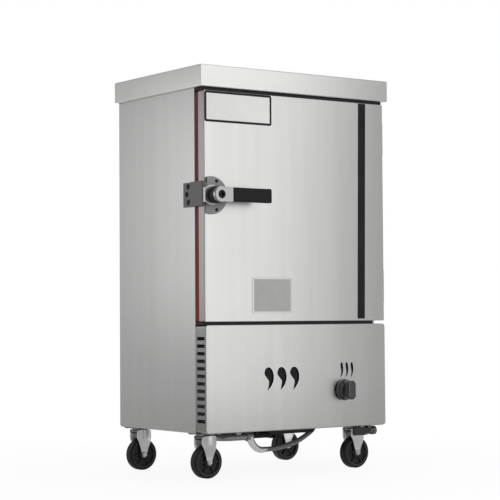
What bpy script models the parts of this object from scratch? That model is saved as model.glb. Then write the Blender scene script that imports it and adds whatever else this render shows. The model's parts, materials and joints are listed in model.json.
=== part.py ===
"""Gas steaming cabinet on four swivel casters.

A folded steel cabinet with one overlay door, a rotary latch, eight trays on
rail racks over a water tank, and a gas burner under the floor of the tank.
Lengths are in metres, +Z is up, the front faces -Y, and the origin lies on
the floor under the middle of the top cover.
"""

import math

import bmesh
import bpy
from mathutils import Vector

# Overall sizes of the cabinet
TOTAL_HEIGHT = 1.240
CAP_WIDTH = 0.720
CAP_DEPTH = 0.500
CAP_HEIGHT = 0.067
CAP_SIDE_OVERHANG = 0.015
CAP_FRONT_OVERHANG = 0.0585
CAP_BACK_OVERHANG = 0.002
SHEET = 0.0012
GAP = 0.0003
OVERRUN = 0.010

# Casters
WHEEL_RADIUS = 0.050
WHEEL_WIDTH = 0.026
WHEEL_TOP_GAP = 0.0025
CASTER_HEAD_HEIGHT = 0.017
CASTER_RACE_HEIGHT = 0.0142
CASTER_PLATE = 0.0035
CASTER_LEFT_INSET = 0.046
CASTER_RIGHT_INSET = 0.074
CASTER_FRONT_INSET = 0.070
CASTER_BACK_INSET = 0.048
CASTER_TRAIL = 0.003

# Door and lower panel
DOOR_TOP_GAP = 0.0095
PANEL_HEIGHT = 0.3202
DOOR_SHELL_DEPTH = 0.0354
GASKET_DEPTH = 0.0142
PANEL_GAP = 0.0125
PANEL_PROUD = 0.003
EDGE_RADIUS = 0.003
CAP_EDGE = 0.003

# Chamber
OPENING_SIDE_MARGIN = 0.037
OPENING_TOP_MARGIN = 0.0315
OPENING_BOTTOM_MARGIN = 0.0295
CHAMBER_BACK_MARGIN = 0.025
SILL_HEIGHT = 0.019
TRAY_COUNT = 8
TRAY_DEPTH = 0.048
TANK_DEPTH = 0.120

# Places worked out from the sizes above
FLOOR_CLEARANCE = (
    2 * WHEEL_RADIUS + WHEEL_TOP_GAP + CASTER_HEAD_HEIGHT + CASTER_RACE_HEIGHT + CASTER_PLATE + 2 * GAP
)
BODY_SIDE = CAP_WIDTH / 2 - CAP_SIDE_OVERHANG
BODY_BACK = CAP_DEPTH / 2 - CAP_BACK_OVERHANG
BODY_FRONT = CAP_FRONT_OVERHANG - CAP_DEPTH / 2
CAP_BOTTOM = TOTAL_HEIGHT - CAP_HEIGHT
FOAM_TOP = TOTAL_HEIGHT - SHEET - GAP
BODY_TOP = FOAM_TOP - CAP_EDGE
GASKET_FRONT = BODY_FRONT - GAP - GASKET_DEPTH
DOOR_REAR = GASKET_FRONT - SHEET - 2 * GAP
DOOR_FRONT = DOOR_REAR - DOOR_SHELL_DEPTH
DOOR_TOP = CAP_BOTTOM - DOOR_TOP_GAP
PANEL_FRONT = DOOR_FRONT - PANEL_PROUD
PANEL_TOP = FLOOR_CLEARANCE + PANEL_HEIGHT
DOOR_BOTTOM = PANEL_TOP + PANEL_GAP
FRAME_BACK = BODY_FRONT + SHEET
LINER_FRONT = FRAME_BACK + GAP
OPENING_SIDE = BODY_SIDE - OPENING_SIDE_MARGIN
OPENING_TOP = DOOR_TOP - OPENING_TOP_MARGIN
OPENING_BOTTOM = DOOR_BOTTOM + OPENING_BOTTOM_MARGIN
CHAMBER_BACK = BODY_BACK - CHAMBER_BACK_MARGIN
CHAMBER_FLOOR = OPENING_BOTTOM - SILL_HEIGHT

# Finishes: colour, roughness and metallic value
STEEL = ((0.66, 0.66, 0.65), 0.34, 1.0)
INNER_STEEL = ((0.70, 0.70, 0.70), 0.28, 1.0)
CHROME = ((0.80, 0.80, 0.80), 0.12, 1.0)
CAST = ((0.36, 0.36, 0.37), 0.45, 0.8)
IRON = ((0.05, 0.05, 0.05), 0.60, 0.6)
BRASS = ((0.62, 0.48, 0.22), 0.35, 1.0)
BLACK_PLASTIC = ((0.03, 0.03, 0.03), 0.35, 0.0)
BLACK_RUBBER = ((0.04, 0.04, 0.04), 0.60, 0.0)
RED_RUBBER = ((0.33, 0.07, 0.06), 0.55, 0.0)
FOAM = ((0.75, 0.70, 0.50), 0.90, 0.0)


def world_point(axis, across, up, along):
    """Turn a point of an outline and its place along an axis into x, y and z."""
    if axis == "X":
        return (along, across, up)
    if axis == "Y":
        return (across, along, up)
    return (across, up, along)


def circle(centre, radius, sides):
    """Outline of a circle."""
    step = 2 * math.pi / sides
    return [
        (centre[0] + radius * math.cos(step * (i + 0.5)), centre[1] + radius * math.sin(step * (i + 0.5)))
        for i in range(sides)
    ]


def rectangle(low, high):
    """Outline of a rectangle with square corners."""
    return [(low[0], low[1]), (high[0], low[1]), (high[0], high[1]), (low[0], high[1])]


def rounded(low, high, radius, steps=3):
    """Outline of a rectangle whose corners are arcs."""
    radius = min(radius, (high[0] - low[0]) / 2.001, (high[1] - low[1]) / 2.001)
    corners = (
        (high[0] - radius, high[1] - radius),
        (low[0] + radius, high[1] - radius),
        (low[0] + radius, low[1] + radius),
        (high[0] - radius, low[1] + radius),
    )
    outline = []
    for quarter, (across, up) in enumerate(corners):
        for i in range(steps + 1):
            angle = (quarter + i / steps) * math.pi / 2
            outline.append((across + radius * math.cos(angle), up + radius * math.sin(angle)))
    return outline


def inset_rounded(low, high, radius, inset, steps=3):
    """Rounded rectangle drawn in by an inset, with the same number of points."""
    inner_low = (low[0] + inset, low[1] + inset)
    inner_high = (high[0] - inset, high[1] - inset)
    return rounded(inner_low, inner_high, max(radius - inset, radius / 4), steps)


def arc(centre, radius, start, end, steps):
    """Points along an arc, with its angles in degrees."""
    points = []
    for i in range(steps + 1):
        angle = math.radians(start + (end - start) * i / steps)
        points.append((centre[0] + radius * math.cos(angle), centre[1] + radius * math.sin(angle)))
    return points


def loft(axis, sections, closed=False):
    """Mesh through outlines of equal point count, filled at both ends or joined round."""
    bm = bmesh.new()
    rings = []
    for outline, along in sections:
        rings.append([bm.verts.new(world_point(axis, across, up, along)) for across, up in outline])
    pairs = list(zip(rings, rings[1:]))
    if closed:
        pairs.append((rings[-1], rings[0]))
    count = len(rings[0])
    for near, far in pairs:
        for i in range(count):
            j = (i + 1) % count
            bm.faces.new((near[i], near[j], far[j], far[i]))
    if not closed:
        bm.faces.new(rings[0])
        bm.faces.new(rings[-1])
    return finished_mesh(bm)


def finished_mesh(bm):
    """Turn the faces outwards and hand the mesh over."""
    bmesh.ops.recalc_face_normals(bm, faces=bm.faces)
    mesh = bpy.data.meshes.new("shape")
    bm.to_mesh(mesh)
    bm.free()
    return mesh


def prism(axis, outline, start, end):
    """Outline extruded along an axis."""
    return loft(axis, [(outline, start), (outline, end)])


def block(low, high):
    """Box between two corners."""
    return prism("Z", rectangle(low[:2], high[:2]), low[2], high[2])


def turned(axis, centre, profile, sides):
    """Solid of revolution from pairs of radius and place along the axis, filled at both ends."""
    return loft(axis, [(circle(centre, radius, sides), along) for radius, along in profile])


def ring_turned(axis, centre, profile, sides):
    """Ring-shaped solid of revolution, whose profile closes on itself."""
    return loft(axis, [(circle(centre, radius, sides), along) for radius, along in profile], closed=True)


def curve_through(points, steps):
    """Path with a straight leg at each end and a Catmull-Rom curve through the points between."""
    path = [Vector(point) for point in points]
    smooth = [path[0]]
    for a, b, c, d in zip(path, path[1:], path[2:], path[3:]):
        for i in range(steps):
            t = i / steps
            smooth.append(
                b
                + (c - a) * t / 2
                + (2 * a - 5 * b + 4 * c - d) * t**2 / 2
                + (3 * b - a - 3 * c + d) * t**3 / 2
            )
    return smooth + path[-2:]


def tube(path, radius, sides):
    """Round bar along a path, with flat ends."""
    path = [Vector(point) for point in path]
    bm = bmesh.new()
    rings = []
    heading = (path[1] - path[0]).normalized()
    across = heading.orthogonal().normalized()
    for i, point in enumerate(path):
        before = path[max(i - 1, 0)]
        after = path[min(i + 1, len(path) - 1)]
        turn = (after - before).normalized()
        across = (across - turn * across.dot(turn)).normalized()
        up = turn.cross(across)
        rings.append([
            bm.verts.new(
                point
                + across * radius * math.cos(2 * math.pi * k / sides)
                + up * radius * math.sin(2 * math.pi * k / sides)
            )
            for k in range(sides)
        ])
    for near, far in zip(rings, rings[1:]):
        for k in range(sides):
            m = (k + 1) % sides
            bm.faces.new((near[k], near[m], far[m], far[k]))
    bm.faces.new(rings[0])
    bm.faces.new(rings[-1])
    return finished_mesh(bm)


def gathered(meshes):
    """Several separate shapes in one mesh, for one cutter."""
    bm = bmesh.new()
    for mesh in meshes:
        bm.from_mesh(mesh)
    return finished_mesh(bm)


def loose(mesh):
    """Put a mesh in the scene as a working object."""
    item = bpy.data.objects.new("shape", mesh)
    bpy.context.collection.objects.link(item)
    return item


def combined(first, second, operation):
    """Mesh that a Boolean of two meshes leaves."""
    target = loose(first)
    tool = loose(second)
    step = target.modifiers.new("combine", "BOOLEAN")
    step.operation = operation
    step.object = tool
    graph = bpy.context.evaluated_depsgraph_get()
    shape = bpy.data.meshes.new_from_object(target.evaluated_get(graph))
    bpy.data.objects.remove(target)
    bpy.data.objects.remove(tool)
    return shape


def joined(first, *others):
    """Union of overlapping meshes."""
    for other in others:
        first = combined(first, other, "UNION")
    return first


def cut(mesh, *tools):
    """Mesh less its cutters."""
    return combined(mesh, gathered(tools), "DIFFERENCE")


def material(name, finish):
    """Principled material of one piece."""
    colour, roughness, metallic = finish
    made = bpy.data.materials.new(name)
    made.use_nodes = True
    shader = made.node_tree.nodes["Principled BSDF"]
    shader.inputs["Base Color"].default_value = (*colour, 1.0)
    shader.inputs["Roughness"].default_value = roughness
    shader.inputs["Metallic"].default_value = metallic
    return made


def piece(name, mesh, finish, place=(0, 0, 0), axle=None, smooth_angle=30):
    """Add one named piece, hung on the empty of its joint if it has one."""
    if not mesh.materials:
        mesh.materials.append(None)
    mesh.shade_smooth()
    mesh.set_sharp_from_angle(angle=math.radians(smooth_angle))
    item = bpy.data.objects.new(name, mesh)
    bpy.context.collection.objects.link(item)
    item.material_slots[0].link = "OBJECT"
    item.material_slots[0].material = material(name, finish)
    item.location = place
    if axle is not None:
        item.parent = axle
        item.matrix_parent_inverse = axle.matrix_world.inverted()
    return item


def joint_axis(name, place, parent=None):
    """Empty that marks a joint's axis and carries what turns or slides on it."""
    mark = bpy.data.objects.new(name, None)
    bpy.context.collection.objects.link(mark)
    if parent is not None:
        mark.parent = parent
        mark.matrix_parent_inverse = parent.matrix_world.inverted()
    mark.location = place
    bpy.context.view_layer.update()
    return mark


def mirrored(outline):
    """Outline turned over to the other side of the middle."""
    return [(-across, up) for across, up in reversed(outline)]


def folded_tray(low, high, radius, face, rim, fillet, sheet, steps=3):
    """Sheet pan: a flat face with a rounded edge and walls back to the rim."""
    way = 1 if rim > face else -1
    side = 1 - math.sqrt(0.5)
    return [
        (inset_rounded(low, high, radius, fillet, steps), face),
        (inset_rounded(low, high, radius, fillet * side, steps), face + way * fillet * side),
        (inset_rounded(low, high, radius, 0, steps), face + way * fillet),
        (inset_rounded(low, high, radius, 0, steps), rim),
        (inset_rounded(low, high, radius, sheet, steps), rim),
        (inset_rounded(low, high, radius, sheet, steps), face + way * (fillet + sheet)),
        (inset_rounded(low, high, radius, fillet + sheet, steps), face + way * sheet),
    ]


# Top cover
CAP_CORNER = 0.006
CAP_LIP_GAP = 0.0005


def make_top_cover():
    """Folded cap with a lip that turns in under it to the body."""
    low = (-CAP_WIDTH / 2, -CAP_DEPTH / 2)
    high = (CAP_WIDTH / 2, CAP_DEPTH / 2)
    side = 1 - math.sqrt(0.5)
    outer = inset_rounded(low, high, CAP_CORNER, 0)
    inner = inset_rounded(low, high, CAP_CORNER, SHEET)
    lip = rounded(
        (-BODY_SIDE - CAP_LIP_GAP, BODY_FRONT - CAP_LIP_GAP),
        (BODY_SIDE + CAP_LIP_GAP, BODY_BACK + CAP_LIP_GAP),
        CAP_LIP_GAP,
    )
    sections = [
        (inset_rounded(low, high, CAP_CORNER, CAP_EDGE), TOTAL_HEIGHT),
        (inset_rounded(low, high, CAP_CORNER, CAP_EDGE * side), TOTAL_HEIGHT - CAP_EDGE * side),
        (outer, TOTAL_HEIGHT - CAP_EDGE),
        (outer, CAP_BOTTOM),
        (lip, CAP_BOTTOM),
        (lip, CAP_BOTTOM + SHEET),
        (inner, CAP_BOTTOM + SHEET),
        (inner, TOTAL_HEIGHT - CAP_EDGE - SHEET),
        (inset_rounded(low, high, CAP_CORNER, CAP_EDGE + SHEET), TOTAL_HEIGHT - SHEET),
    ]
    piece("top_cover", loft("Z", sections), STEEL)


# Body panels
RETURN_WIDTH = 0.020
BACK_RETURN = BODY_BACK - SHEET - GAP
LOUVRE_SIDE_MARGIN = 0.060
LOUVRE_HEIGHT = 0.008
LOUVRE_PITCH = 0.024
LOUVRE_ROWS = 6
LOUVRE_RISE = 0.060
INLET_DROP = 0.080
INLET_INSET = 0.100
INLET_RADIUS = 0.008
FLUE_WIDTH = 0.120
FLUE_DEPTH = 0.0577
FLUE_FLANGE = 0.020
FLUE_TOP_MARGIN = 0.040
FLUE_RISE = 0.150
FLUE_PORT_HEIGHT = 0.080
TANK_TOP = CHAMBER_FLOOR - SHEET - GAP
INLET_X = INLET_INSET - BODY_SIDE
INLET_Z = TANK_TOP - INLET_DROP


def make_side_panels():
    """Two side sheets with a return round the rear corner."""
    outline = [
        (-BODY_SIDE, LINER_FRONT),
        (-BODY_SIDE, BACK_RETURN),
        (-BODY_SIDE + RETURN_WIDTH, BACK_RETURN),
        (-BODY_SIDE + RETURN_WIDTH, BACK_RETURN - SHEET),
        (-BODY_SIDE + SHEET, BACK_RETURN - SHEET),
        (-BODY_SIDE + SHEET, LINER_FRONT),
    ]
    piece("left_side_panel", prism("Z", outline, FLOOR_CLEARANCE, BODY_TOP), STEEL)
    piece("right_side_panel", prism("Z", mirrored(outline), FLOOR_CLEARANCE, BODY_TOP), STEEL)


def make_back_panel():
    """Rear sheet with two columns of vent slots, the flue port and the holes of both inlets."""
    sheet = block((-BODY_SIDE, BODY_BACK - SHEET, FLOOR_CLEARANCE), (BODY_SIDE, BODY_BACK, BODY_TOP))
    tools = []
    near = FLUE_WIDTH / 2 + FLUE_FLANGE + LOUVRE_SIDE_MARGIN
    far = BODY_SIDE - LOUVRE_SIDE_MARGIN
    for side in (-1, 1):
        ends = sorted((side * near, side * far))
        for row in range(LOUVRE_ROWS):
            bottom = FLOOR_CLEARANCE + LOUVRE_RISE + row * LOUVRE_PITCH
            slot = rounded((ends[0], bottom), (ends[1], bottom + LOUVRE_HEIGHT), LOUVRE_HEIGHT / 2, 1)
            tools.append(prism("Y", slot, BODY_BACK - OVERRUN, BODY_BACK + OVERRUN))
    port_low = FLOOR_CLEARANCE + FLUE_RISE + FLUE_FLANGE
    port_side = FLUE_WIDTH / 2 - FLUE_FLANGE
    port = rectangle((-port_side, port_low), (port_side, port_low + FLUE_PORT_HEIGHT))
    tools.append(prism("Y", port, BODY_BACK - OVERRUN, BODY_BACK + OVERRUN))
    inlet = circle((INLET_X, INLET_Z), INLET_RADIUS + GAP, 12)
    tools.append(prism("Y", inlet, BODY_BACK - OVERRUN, BODY_BACK + OVERRUN))
    pipe = circle((-PIPE_SIDE, PIPE_RUN_Z), PIPE_HOLE, 12)
    tools.append(prism("Y", pipe, BODY_BACK - OVERRUN, BODY_BACK + OVERRUN))
    piece("back_panel", cut(sheet, *tools), STEEL)


def make_flue_outlet():
    """Hat-shaped duct that carries the burner's exhaust up the rear face."""
    near = BODY_BACK + GAP
    far = near + FLUE_DEPTH
    half = FLUE_WIDTH / 2
    outline = [
        (-half - FLUE_FLANGE, near),
        (-half - FLUE_FLANGE, near + SHEET),
        (-half, near + SHEET),
        (-half, far),
        (half, far),
        (half, near + SHEET),
        (half + FLUE_FLANGE, near + SHEET),
        (half + FLUE_FLANGE, near),
        (half - SHEET, near),
        (half - SHEET, far - SHEET),
        (-half + SHEET, far - SHEET),
        (-half + SHEET, near),
    ]
    duct = prism("Z", outline, FLOOR_CLEARANCE + FLUE_RISE, CAP_BOTTOM - FLUE_TOP_MARGIN)
    floor = block(
        (-half, near, FLOOR_CLEARANCE + FLUE_RISE), (half, far, FLOOR_CLEARANCE + FLUE_RISE + SHEET)
    )
    piece("flue_outlet", joined(duct, floor), STEEL)


# Front frame, liner and insulation
FRAME_FLANGE_HEIGHT = 0.030
BASE_SHEET = 0.003
CORNER_RADIUS = 0.012
LOWER_OPENING_MARGIN = 0.030
LOWER_OPENING_SILL = 0.007
LOWER_OPENING_HEAD = 0.018
TANK_HOLE_SIDE_MARGIN = 0.038
TANK_HOLE_FRONT_MARGIN = 0.040
TANK_HOLE_BACK_MARGIN = 0.033
BASE_TOP = FLOOR_CLEARANCE + FRAME_FLANGE_HEIGHT
TANK_HOLE_LOW = (-OPENING_SIDE + TANK_HOLE_SIDE_MARGIN, LINER_FRONT + TANK_HOLE_FRONT_MARGIN)
TANK_HOLE_HIGH = (OPENING_SIDE - TANK_HOLE_SIDE_MARGIN, CHAMBER_BACK - TANK_HOLE_BACK_MARGIN)


def make_front_frame():
    """Front sheet with the door opening above and the burner opening below."""
    sheet = block((-BODY_SIDE, BODY_FRONT, BASE_TOP + GAP), (BODY_SIDE, FRAME_BACK, BODY_TOP))
    door_opening = rounded(
        (-OPENING_SIDE, OPENING_BOTTOM), (OPENING_SIDE, OPENING_TOP), CORNER_RADIUS
    )
    half = BODY_SIDE - LOWER_OPENING_MARGIN
    lower_opening = rounded(
        (-half, BASE_TOP + LOWER_OPENING_SILL), (half, PANEL_TOP - LOWER_OPENING_HEAD), CORNER_RADIUS
    )
    tools = [
        prism("Y", door_opening, BODY_FRONT - OVERRUN, FRAME_BACK + OVERRUN),
        prism("Y", lower_opening, BODY_FRONT - OVERRUN, FRAME_BACK + OVERRUN),
    ]
    piece("front_frame", cut(sheet, *tools), STEEL)


def make_chamber_liner():
    """Welded inner box, open at the front, with a hole in its floor over the tank."""
    low = (-OPENING_SIDE, CHAMBER_FLOOR)
    high = (OPENING_SIDE, OPENING_TOP)
    inner = rounded(low, high, CORNER_RADIUS)
    outer = rounded(
        (low[0] - SHEET, low[1] - SHEET), (high[0] + SHEET, high[1] + SHEET), CORNER_RADIUS + SHEET
    )
    shell = loft("Y", [
        (outer, CHAMBER_BACK + SHEET),
        (outer, LINER_FRONT),
        (inner, LINER_FRONT),
        (inner, CHAMBER_BACK),
    ])
    hole = rounded(TANK_HOLE_LOW, TANK_HOLE_HIGH, CORNER_RADIUS)
    tool = prism("Z", hole, CHAMBER_FLOOR - OVERRUN, CHAMBER_FLOOR + OVERRUN)
    piece("chamber_liner", cut(shell, tool), INNER_STEEL)


def make_insulation():
    """Foam jacket round the sides, top and back of the liner."""
    side = BODY_SIDE - SHEET - GAP
    rear = BACK_RETURN - SHEET - GAP
    inner_side = OPENING_SIDE + SHEET + GAP
    inner_top = OPENING_TOP + SHEET + GAP
    inner_back = CHAMBER_BACK + SHEET + GAP
    foam = block((-side, LINER_FRONT, CHAMBER_FLOOR), (side, rear, FOAM_TOP))
    space = block(
        (-inner_side, LINER_FRONT - OVERRUN, CHAMBER_FLOOR - OVERRUN), (inner_side, inner_back, inner_top)
    )
    piece("insulation_jacket", cut(foam, space), FOAM)


# Trays on their rail racks
RAIL_SHEET = 0.0015
RAIL_BODY_CLEARANCE = 0.003
TRAY_SHEET = 0.001
TRAY_SIDE_CLEARANCE = 0.008
TRAY_FRONT_CLEARANCE = 0.0080
TRAY_BACK_CLEARANCE = 0.005
TRAY_RIM = 0.015
TRAY_TAPER = 0.003
TRAY_CORNER = 0.030
TRAY_BOTTOM_ROUND = 0.006
RACK_END_MARGIN = 0.012
RACK_WINDOW_MARGIN = 0.016
RACK_WINDOW_COUNT = 2
TRAY_SIDE = OPENING_SIDE - TRAY_SIDE_CLEARANCE
TRAY_FRONT = LINER_FRONT + TRAY_FRONT_CLEARANCE
TRAY_BACK = CHAMBER_BACK - TRAY_BACK_CLEARANCE
RAIL_PITCH = (OPENING_TOP - OPENING_BOTTOM) / TRAY_COUNT
FIRST_RAIL = OPENING_BOTTOM + TRAY_DEPTH + RAIL_SHEET


def make_rail_racks():
    """Comb-shaped racks whose ledges carry the trays by their rims."""
    wall = OPENING_SIDE - GAP
    face = wall - RAIL_SHEET
    ledge = TRAY_SIDE - TRAY_RIM + RAIL_BODY_CLEARANCE
    bottom = FIRST_RAIL - RAIL_SHEET - RACK_END_MARGIN
    rails = [FIRST_RAIL + i * RAIL_PITCH for i in range(TRAY_COUNT)]
    top = rails[-1] + RACK_END_MARGIN
    outline = [(wall, top), (wall, bottom), (face, bottom)]
    for rail in rails:
        outline += [
            (face, rail - RAIL_SHEET),
            (ledge, rail - RAIL_SHEET),
            (ledge, rail),
            (face, rail),
        ]
    outline.append((face, top))
    front = TRAY_FRONT + RACK_WINDOW_MARGIN
    back = TRAY_BACK - RACK_WINDOW_MARGIN
    span = (back - front + RACK_WINDOW_MARGIN) / RACK_WINDOW_COUNT
    for name, side in (("rail_rack_left", -1), ("rail_rack_right", 1)):
        shape = outline if side > 0 else mirrored(outline)
        windows = []
        for low in rails[:-1]:
            for i in range(RACK_WINDOW_COUNT):
                start = front + i * span
                windows.append(block(
                    (side * wall - OVERRUN / 2, start, low + RACK_WINDOW_MARGIN),
                    (
                        side * wall + OVERRUN / 2,
                        start + span - RACK_WINDOW_MARGIN,
                        low + RAIL_PITCH - RACK_WINDOW_MARGIN,
                    ),
                ))
        piece(name, cut(prism("Y", shape, TRAY_FRONT, TRAY_BACK), *windows), INNER_STEEL)


def make_trays():
    """Drawn trays, each hung by its rim on a pair of ledges."""
    low = (-TRAY_SIDE, TRAY_FRONT)
    high = (TRAY_SIDE, TRAY_BACK)
    wall = TRAY_RIM + TRAY_TAPER
    floor = wall + TRAY_BOTTOM_ROUND
    corner = TRAY_CORNER

    def outline(inset):
        return inset_rounded(low, high, corner, inset)

    mesh = loft("Z", [
        (outline(floor), -TRAY_DEPTH),
        (outline(wall), -TRAY_DEPTH + TRAY_BOTTOM_ROUND),
        (outline(TRAY_RIM), -TRAY_SHEET),
        (outline(0), -TRAY_SHEET),
        (outline(0), 0),
        (outline(TRAY_RIM + TRAY_SHEET), 0),
        (outline(wall + TRAY_SHEET), -TRAY_DEPTH + TRAY_BOTTOM_ROUND + TRAY_SHEET / 4),
        (outline(floor + TRAY_SHEET / 2), -TRAY_DEPTH + TRAY_SHEET),
    ])
    for i in range(TRAY_COUNT):
        height = FIRST_RAIL + i * RAIL_PITCH + GAP + TRAY_SHEET
        piece(f"tray_{i + 1}", mesh, INNER_STEEL, place=(0, 0, height))


# Water tank and steam plate
TANK_SIDE_MARGIN = 0.023
TANK_FRONT_MARGIN = 0.024
TANK_BACK_MARGIN = 0.023
TANK_FLANGE = 0.015
TANK_ROUND = 0.008
PLATE_SHEET = 0.0015
PLATE_OVERLAP = 0.020
PLATE_SLOTS = 5
PLATE_BAR = 0.036
PLATE_END = 0.030
TANK_LOW = (-OPENING_SIDE + TANK_SIDE_MARGIN, LINER_FRONT + TANK_FRONT_MARGIN)
TANK_HIGH = (OPENING_SIDE - TANK_SIDE_MARGIN, CHAMBER_BACK - TANK_BACK_MARGIN)
TANK_BOTTOM = TANK_TOP - TANK_DEPTH


def make_water_tank():
    """Deep pan welded by its flange under the chamber's floor."""
    low = (TANK_LOW[0] - TANK_FLANGE, TANK_LOW[1] - TANK_FLANGE)
    high = (TANK_HIGH[0] + TANK_FLANGE, TANK_HIGH[1] + TANK_FLANGE)

    def outline(inset):
        return inset_rounded(low, high, CORNER_RADIUS + TANK_FLANGE, inset)

    mesh = loft("Z", [
        (outline(TANK_FLANGE + TANK_ROUND - SHEET), TANK_BOTTOM),
        (outline(TANK_FLANGE - SHEET), TANK_BOTTOM + TANK_ROUND),
        (outline(TANK_FLANGE - SHEET), TANK_TOP - SHEET),
        (outline(0), TANK_TOP - SHEET),
        (outline(0), TANK_TOP),
        (outline(TANK_FLANGE), TANK_TOP),
        (outline(TANK_FLANGE), TANK_BOTTOM + TANK_ROUND + SHEET / 4),
        (outline(TANK_FLANGE + TANK_ROUND - SHEET / 2), TANK_BOTTOM + SHEET),
    ])
    piece("water_tank", mesh, INNER_STEEL)


def make_steam_plate():
    """Slotted plate over the tank, through which the steam rises."""
    low = (TANK_HOLE_LOW[0] - PLATE_OVERLAP, TANK_HOLE_LOW[1] - PLATE_OVERLAP)
    high = (TANK_HOLE_HIGH[0] + PLATE_OVERLAP, TANK_HOLE_HIGH[1] + PLATE_OVERLAP)
    bottom = CHAMBER_FLOOR + GAP
    plate = prism("Z", rounded(low, high, CORNER_RADIUS), bottom, bottom + PLATE_SHEET)
    pitch = (high[0] - low[0] - PLATE_BAR) / PLATE_SLOTS
    tools = []
    for i in range(PLATE_SLOTS):
        start = low[0] + PLATE_BAR + i * pitch
        end = start + pitch - PLATE_BAR
        slot = rounded((start, low[1] + PLATE_END), (end, high[1] - PLATE_END), CORNER_RADIUS, 2)
        tools.append(prism("Z", slot, bottom - OVERRUN, bottom + OVERRUN))
    piece("steam_plate", cut(plate, *tools), INNER_STEEL)


# Base frame
BASE_SIDE_LEDGE = 0.030
BASE_FRONT_DECK = 0.1805
BASE_BACK_DECK = 0.110
BASE_SIDE = BODY_SIDE - SHEET - GAP
BASE_FRONT = PANEL_FRONT + EDGE_RADIUS + SHEET + GAP
BASE_BACK = BACK_RETURN - SHEET - GAP
DECK_FRONT_EDGE = BASE_FRONT + BASE_FRONT_DECK
DECK_BACK_EDGE = BASE_BACK - BASE_BACK_DECK

# Gas line
PIPE_RADIUS = 0.010
PIPE_HEIGHT_GAP = 0.016
PIPE_INSET = 0.155
PIPE_FRONT_SETBACK = 0.1435
PIPE_TAIL = 0.040
PIPE_HOLE = 0.0115
PIPE_LOUVRE_GAP = 0.005
PIPE_BEND = 0.030
UNION_RADIUS = 0.0135
UNION_LENGTH = 0.024
UNION_OFFSET = 0.102
CLIP_WIDTH = 0.018
CLIP_BACK_SETBACK = 0.055
HOSE_RADIUS = 0.0085
HOSE_DROP = 0.044
HOSE_RISER_OFFSET = 0.0057
VALVE_INSET = 0.172
VALVE_RISE = 0.117
VALVE_BODY_RADIUS = 0.016
VALVE_FLANGE_RADIUS = 0.021
VALVE_FLANGE = 0.0035
VALVE_LENGTH = 0.040
VALVE_PORT_RADIUS = 0.010
VALVE_PORT_LENGTH = 0.018
FEED_RADIUS = 0.005
HOSE_HOLE = 0.012
VALVE_X = BODY_SIDE - VALVE_INSET
PIPE_SIDE = BODY_SIDE - PIPE_INSET
CLIP_SIDE_OFFSET = (PIPE_SIDE - PIPE_BEND + UNION_OFFSET) / 2
PIPE_Z = FLOOR_CLEARANCE - PIPE_HEIGHT_GAP - PIPE_RADIUS
PIPE_Y = PANEL_FRONT + PIPE_FRONT_SETBACK
PIPE_RISER_Y = DECK_FRONT_EDGE + 2 * PIPE_RADIUS
PIPE_RUN_Z = FLOOR_CLEARANCE + LOUVRE_RISE - PIPE_LOUVRE_GAP - PIPE_RADIUS
VALVE_Z = FLOOR_CLEARANCE + VALVE_RISE
VALVE_FACE = PANEL_FRONT + SHEET + GAP
VALVE_Y = VALVE_FACE + VALVE_LENGTH / 2
HOSE_START = (-UNION_OFFSET + UNION_LENGTH + GAP, PIPE_Y, PIPE_Z)
HOSE_RISER_X = VALVE_X - HOSE_RISER_OFFSET
HOSE_SPAN = HOSE_RISER_X - HOSE_START[0]
HOSE_END_Z = VALVE_Z - VALVE_BODY_RADIUS - VALVE_PORT_LENGTH - GAP

# Drain line
DRAIN_INSET = 0.057
DRAIN_SETBACK = 0.0175
DRAIN_PIPE_RADIUS = 0.009
DRAIN_HOLE = 0.0095
DRAIN_VALVE_DROP = 0.016
DRAIN_BODY_RADIUS = 0.0125
DRAIN_BODY_LENGTH = 0.046
DRAIN_NUT_RADIUS = 0.014
DRAIN_NUT_LENGTH = 0.014
DRAIN_X = BODY_SIDE - DRAIN_INSET
DRAIN_Y = PANEL_FRONT + DRAIN_SETBACK
DRAIN_Z = FLOOR_CLEARANCE - DRAIN_VALVE_DROP
STEM_RADIUS = 0.004
LEVER_LENGTH = 0.074
LEVER_SHEET = 0.003
LEVER_WIDTH = 0.014
LEVER_HUB = 0.009
SLEEVE_LENGTH = 0.046
SLEEVE_WIDTH = 0.026
SLEEVE_THICKNESS = 0.008


def make_base_frame():
    """Angle-iron ring with a deck at the front and back for the casters."""
    low = (-BASE_SIDE, BASE_FRONT)
    high = (BASE_SIDE, BASE_BACK)
    outer = rectangle(low, high)
    inner = rectangle(
        (low[0] + BASE_SHEET, low[1] + BASE_SHEET), (high[0] - BASE_SHEET, high[1] - BASE_SHEET)
    )
    opening = rectangle(
        (-BASE_SIDE + BASE_SIDE_LEDGE, DECK_FRONT_EDGE), (BASE_SIDE - BASE_SIDE_LEDGE, DECK_BACK_EDGE)
    )
    shape = loft("Z", [
        (outer, FLOOR_CLEARANCE),
        (outer, BASE_TOP),
        (inner, BASE_TOP),
        (inner, FLOOR_CLEARANCE + BASE_SHEET),
        (opening, FLOOR_CLEARANCE + BASE_SHEET),
        (opening, FLOOR_CLEARANCE),
    ], closed=True)
    low_z = FLOOR_CLEARANCE - OVERRUN
    high_z = FLOOR_CLEARANCE + OVERRUN
    tools = [
        prism("Z", circle((HOSE_RISER_X, PIPE_Y), HOSE_HOLE, 12), low_z, high_z),
        prism("Z", circle((DRAIN_X, DRAIN_Y), DRAIN_HOLE, 12), low_z, high_z),
    ]
    piece("base_frame", cut(shape, *tools), STEEL)


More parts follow.
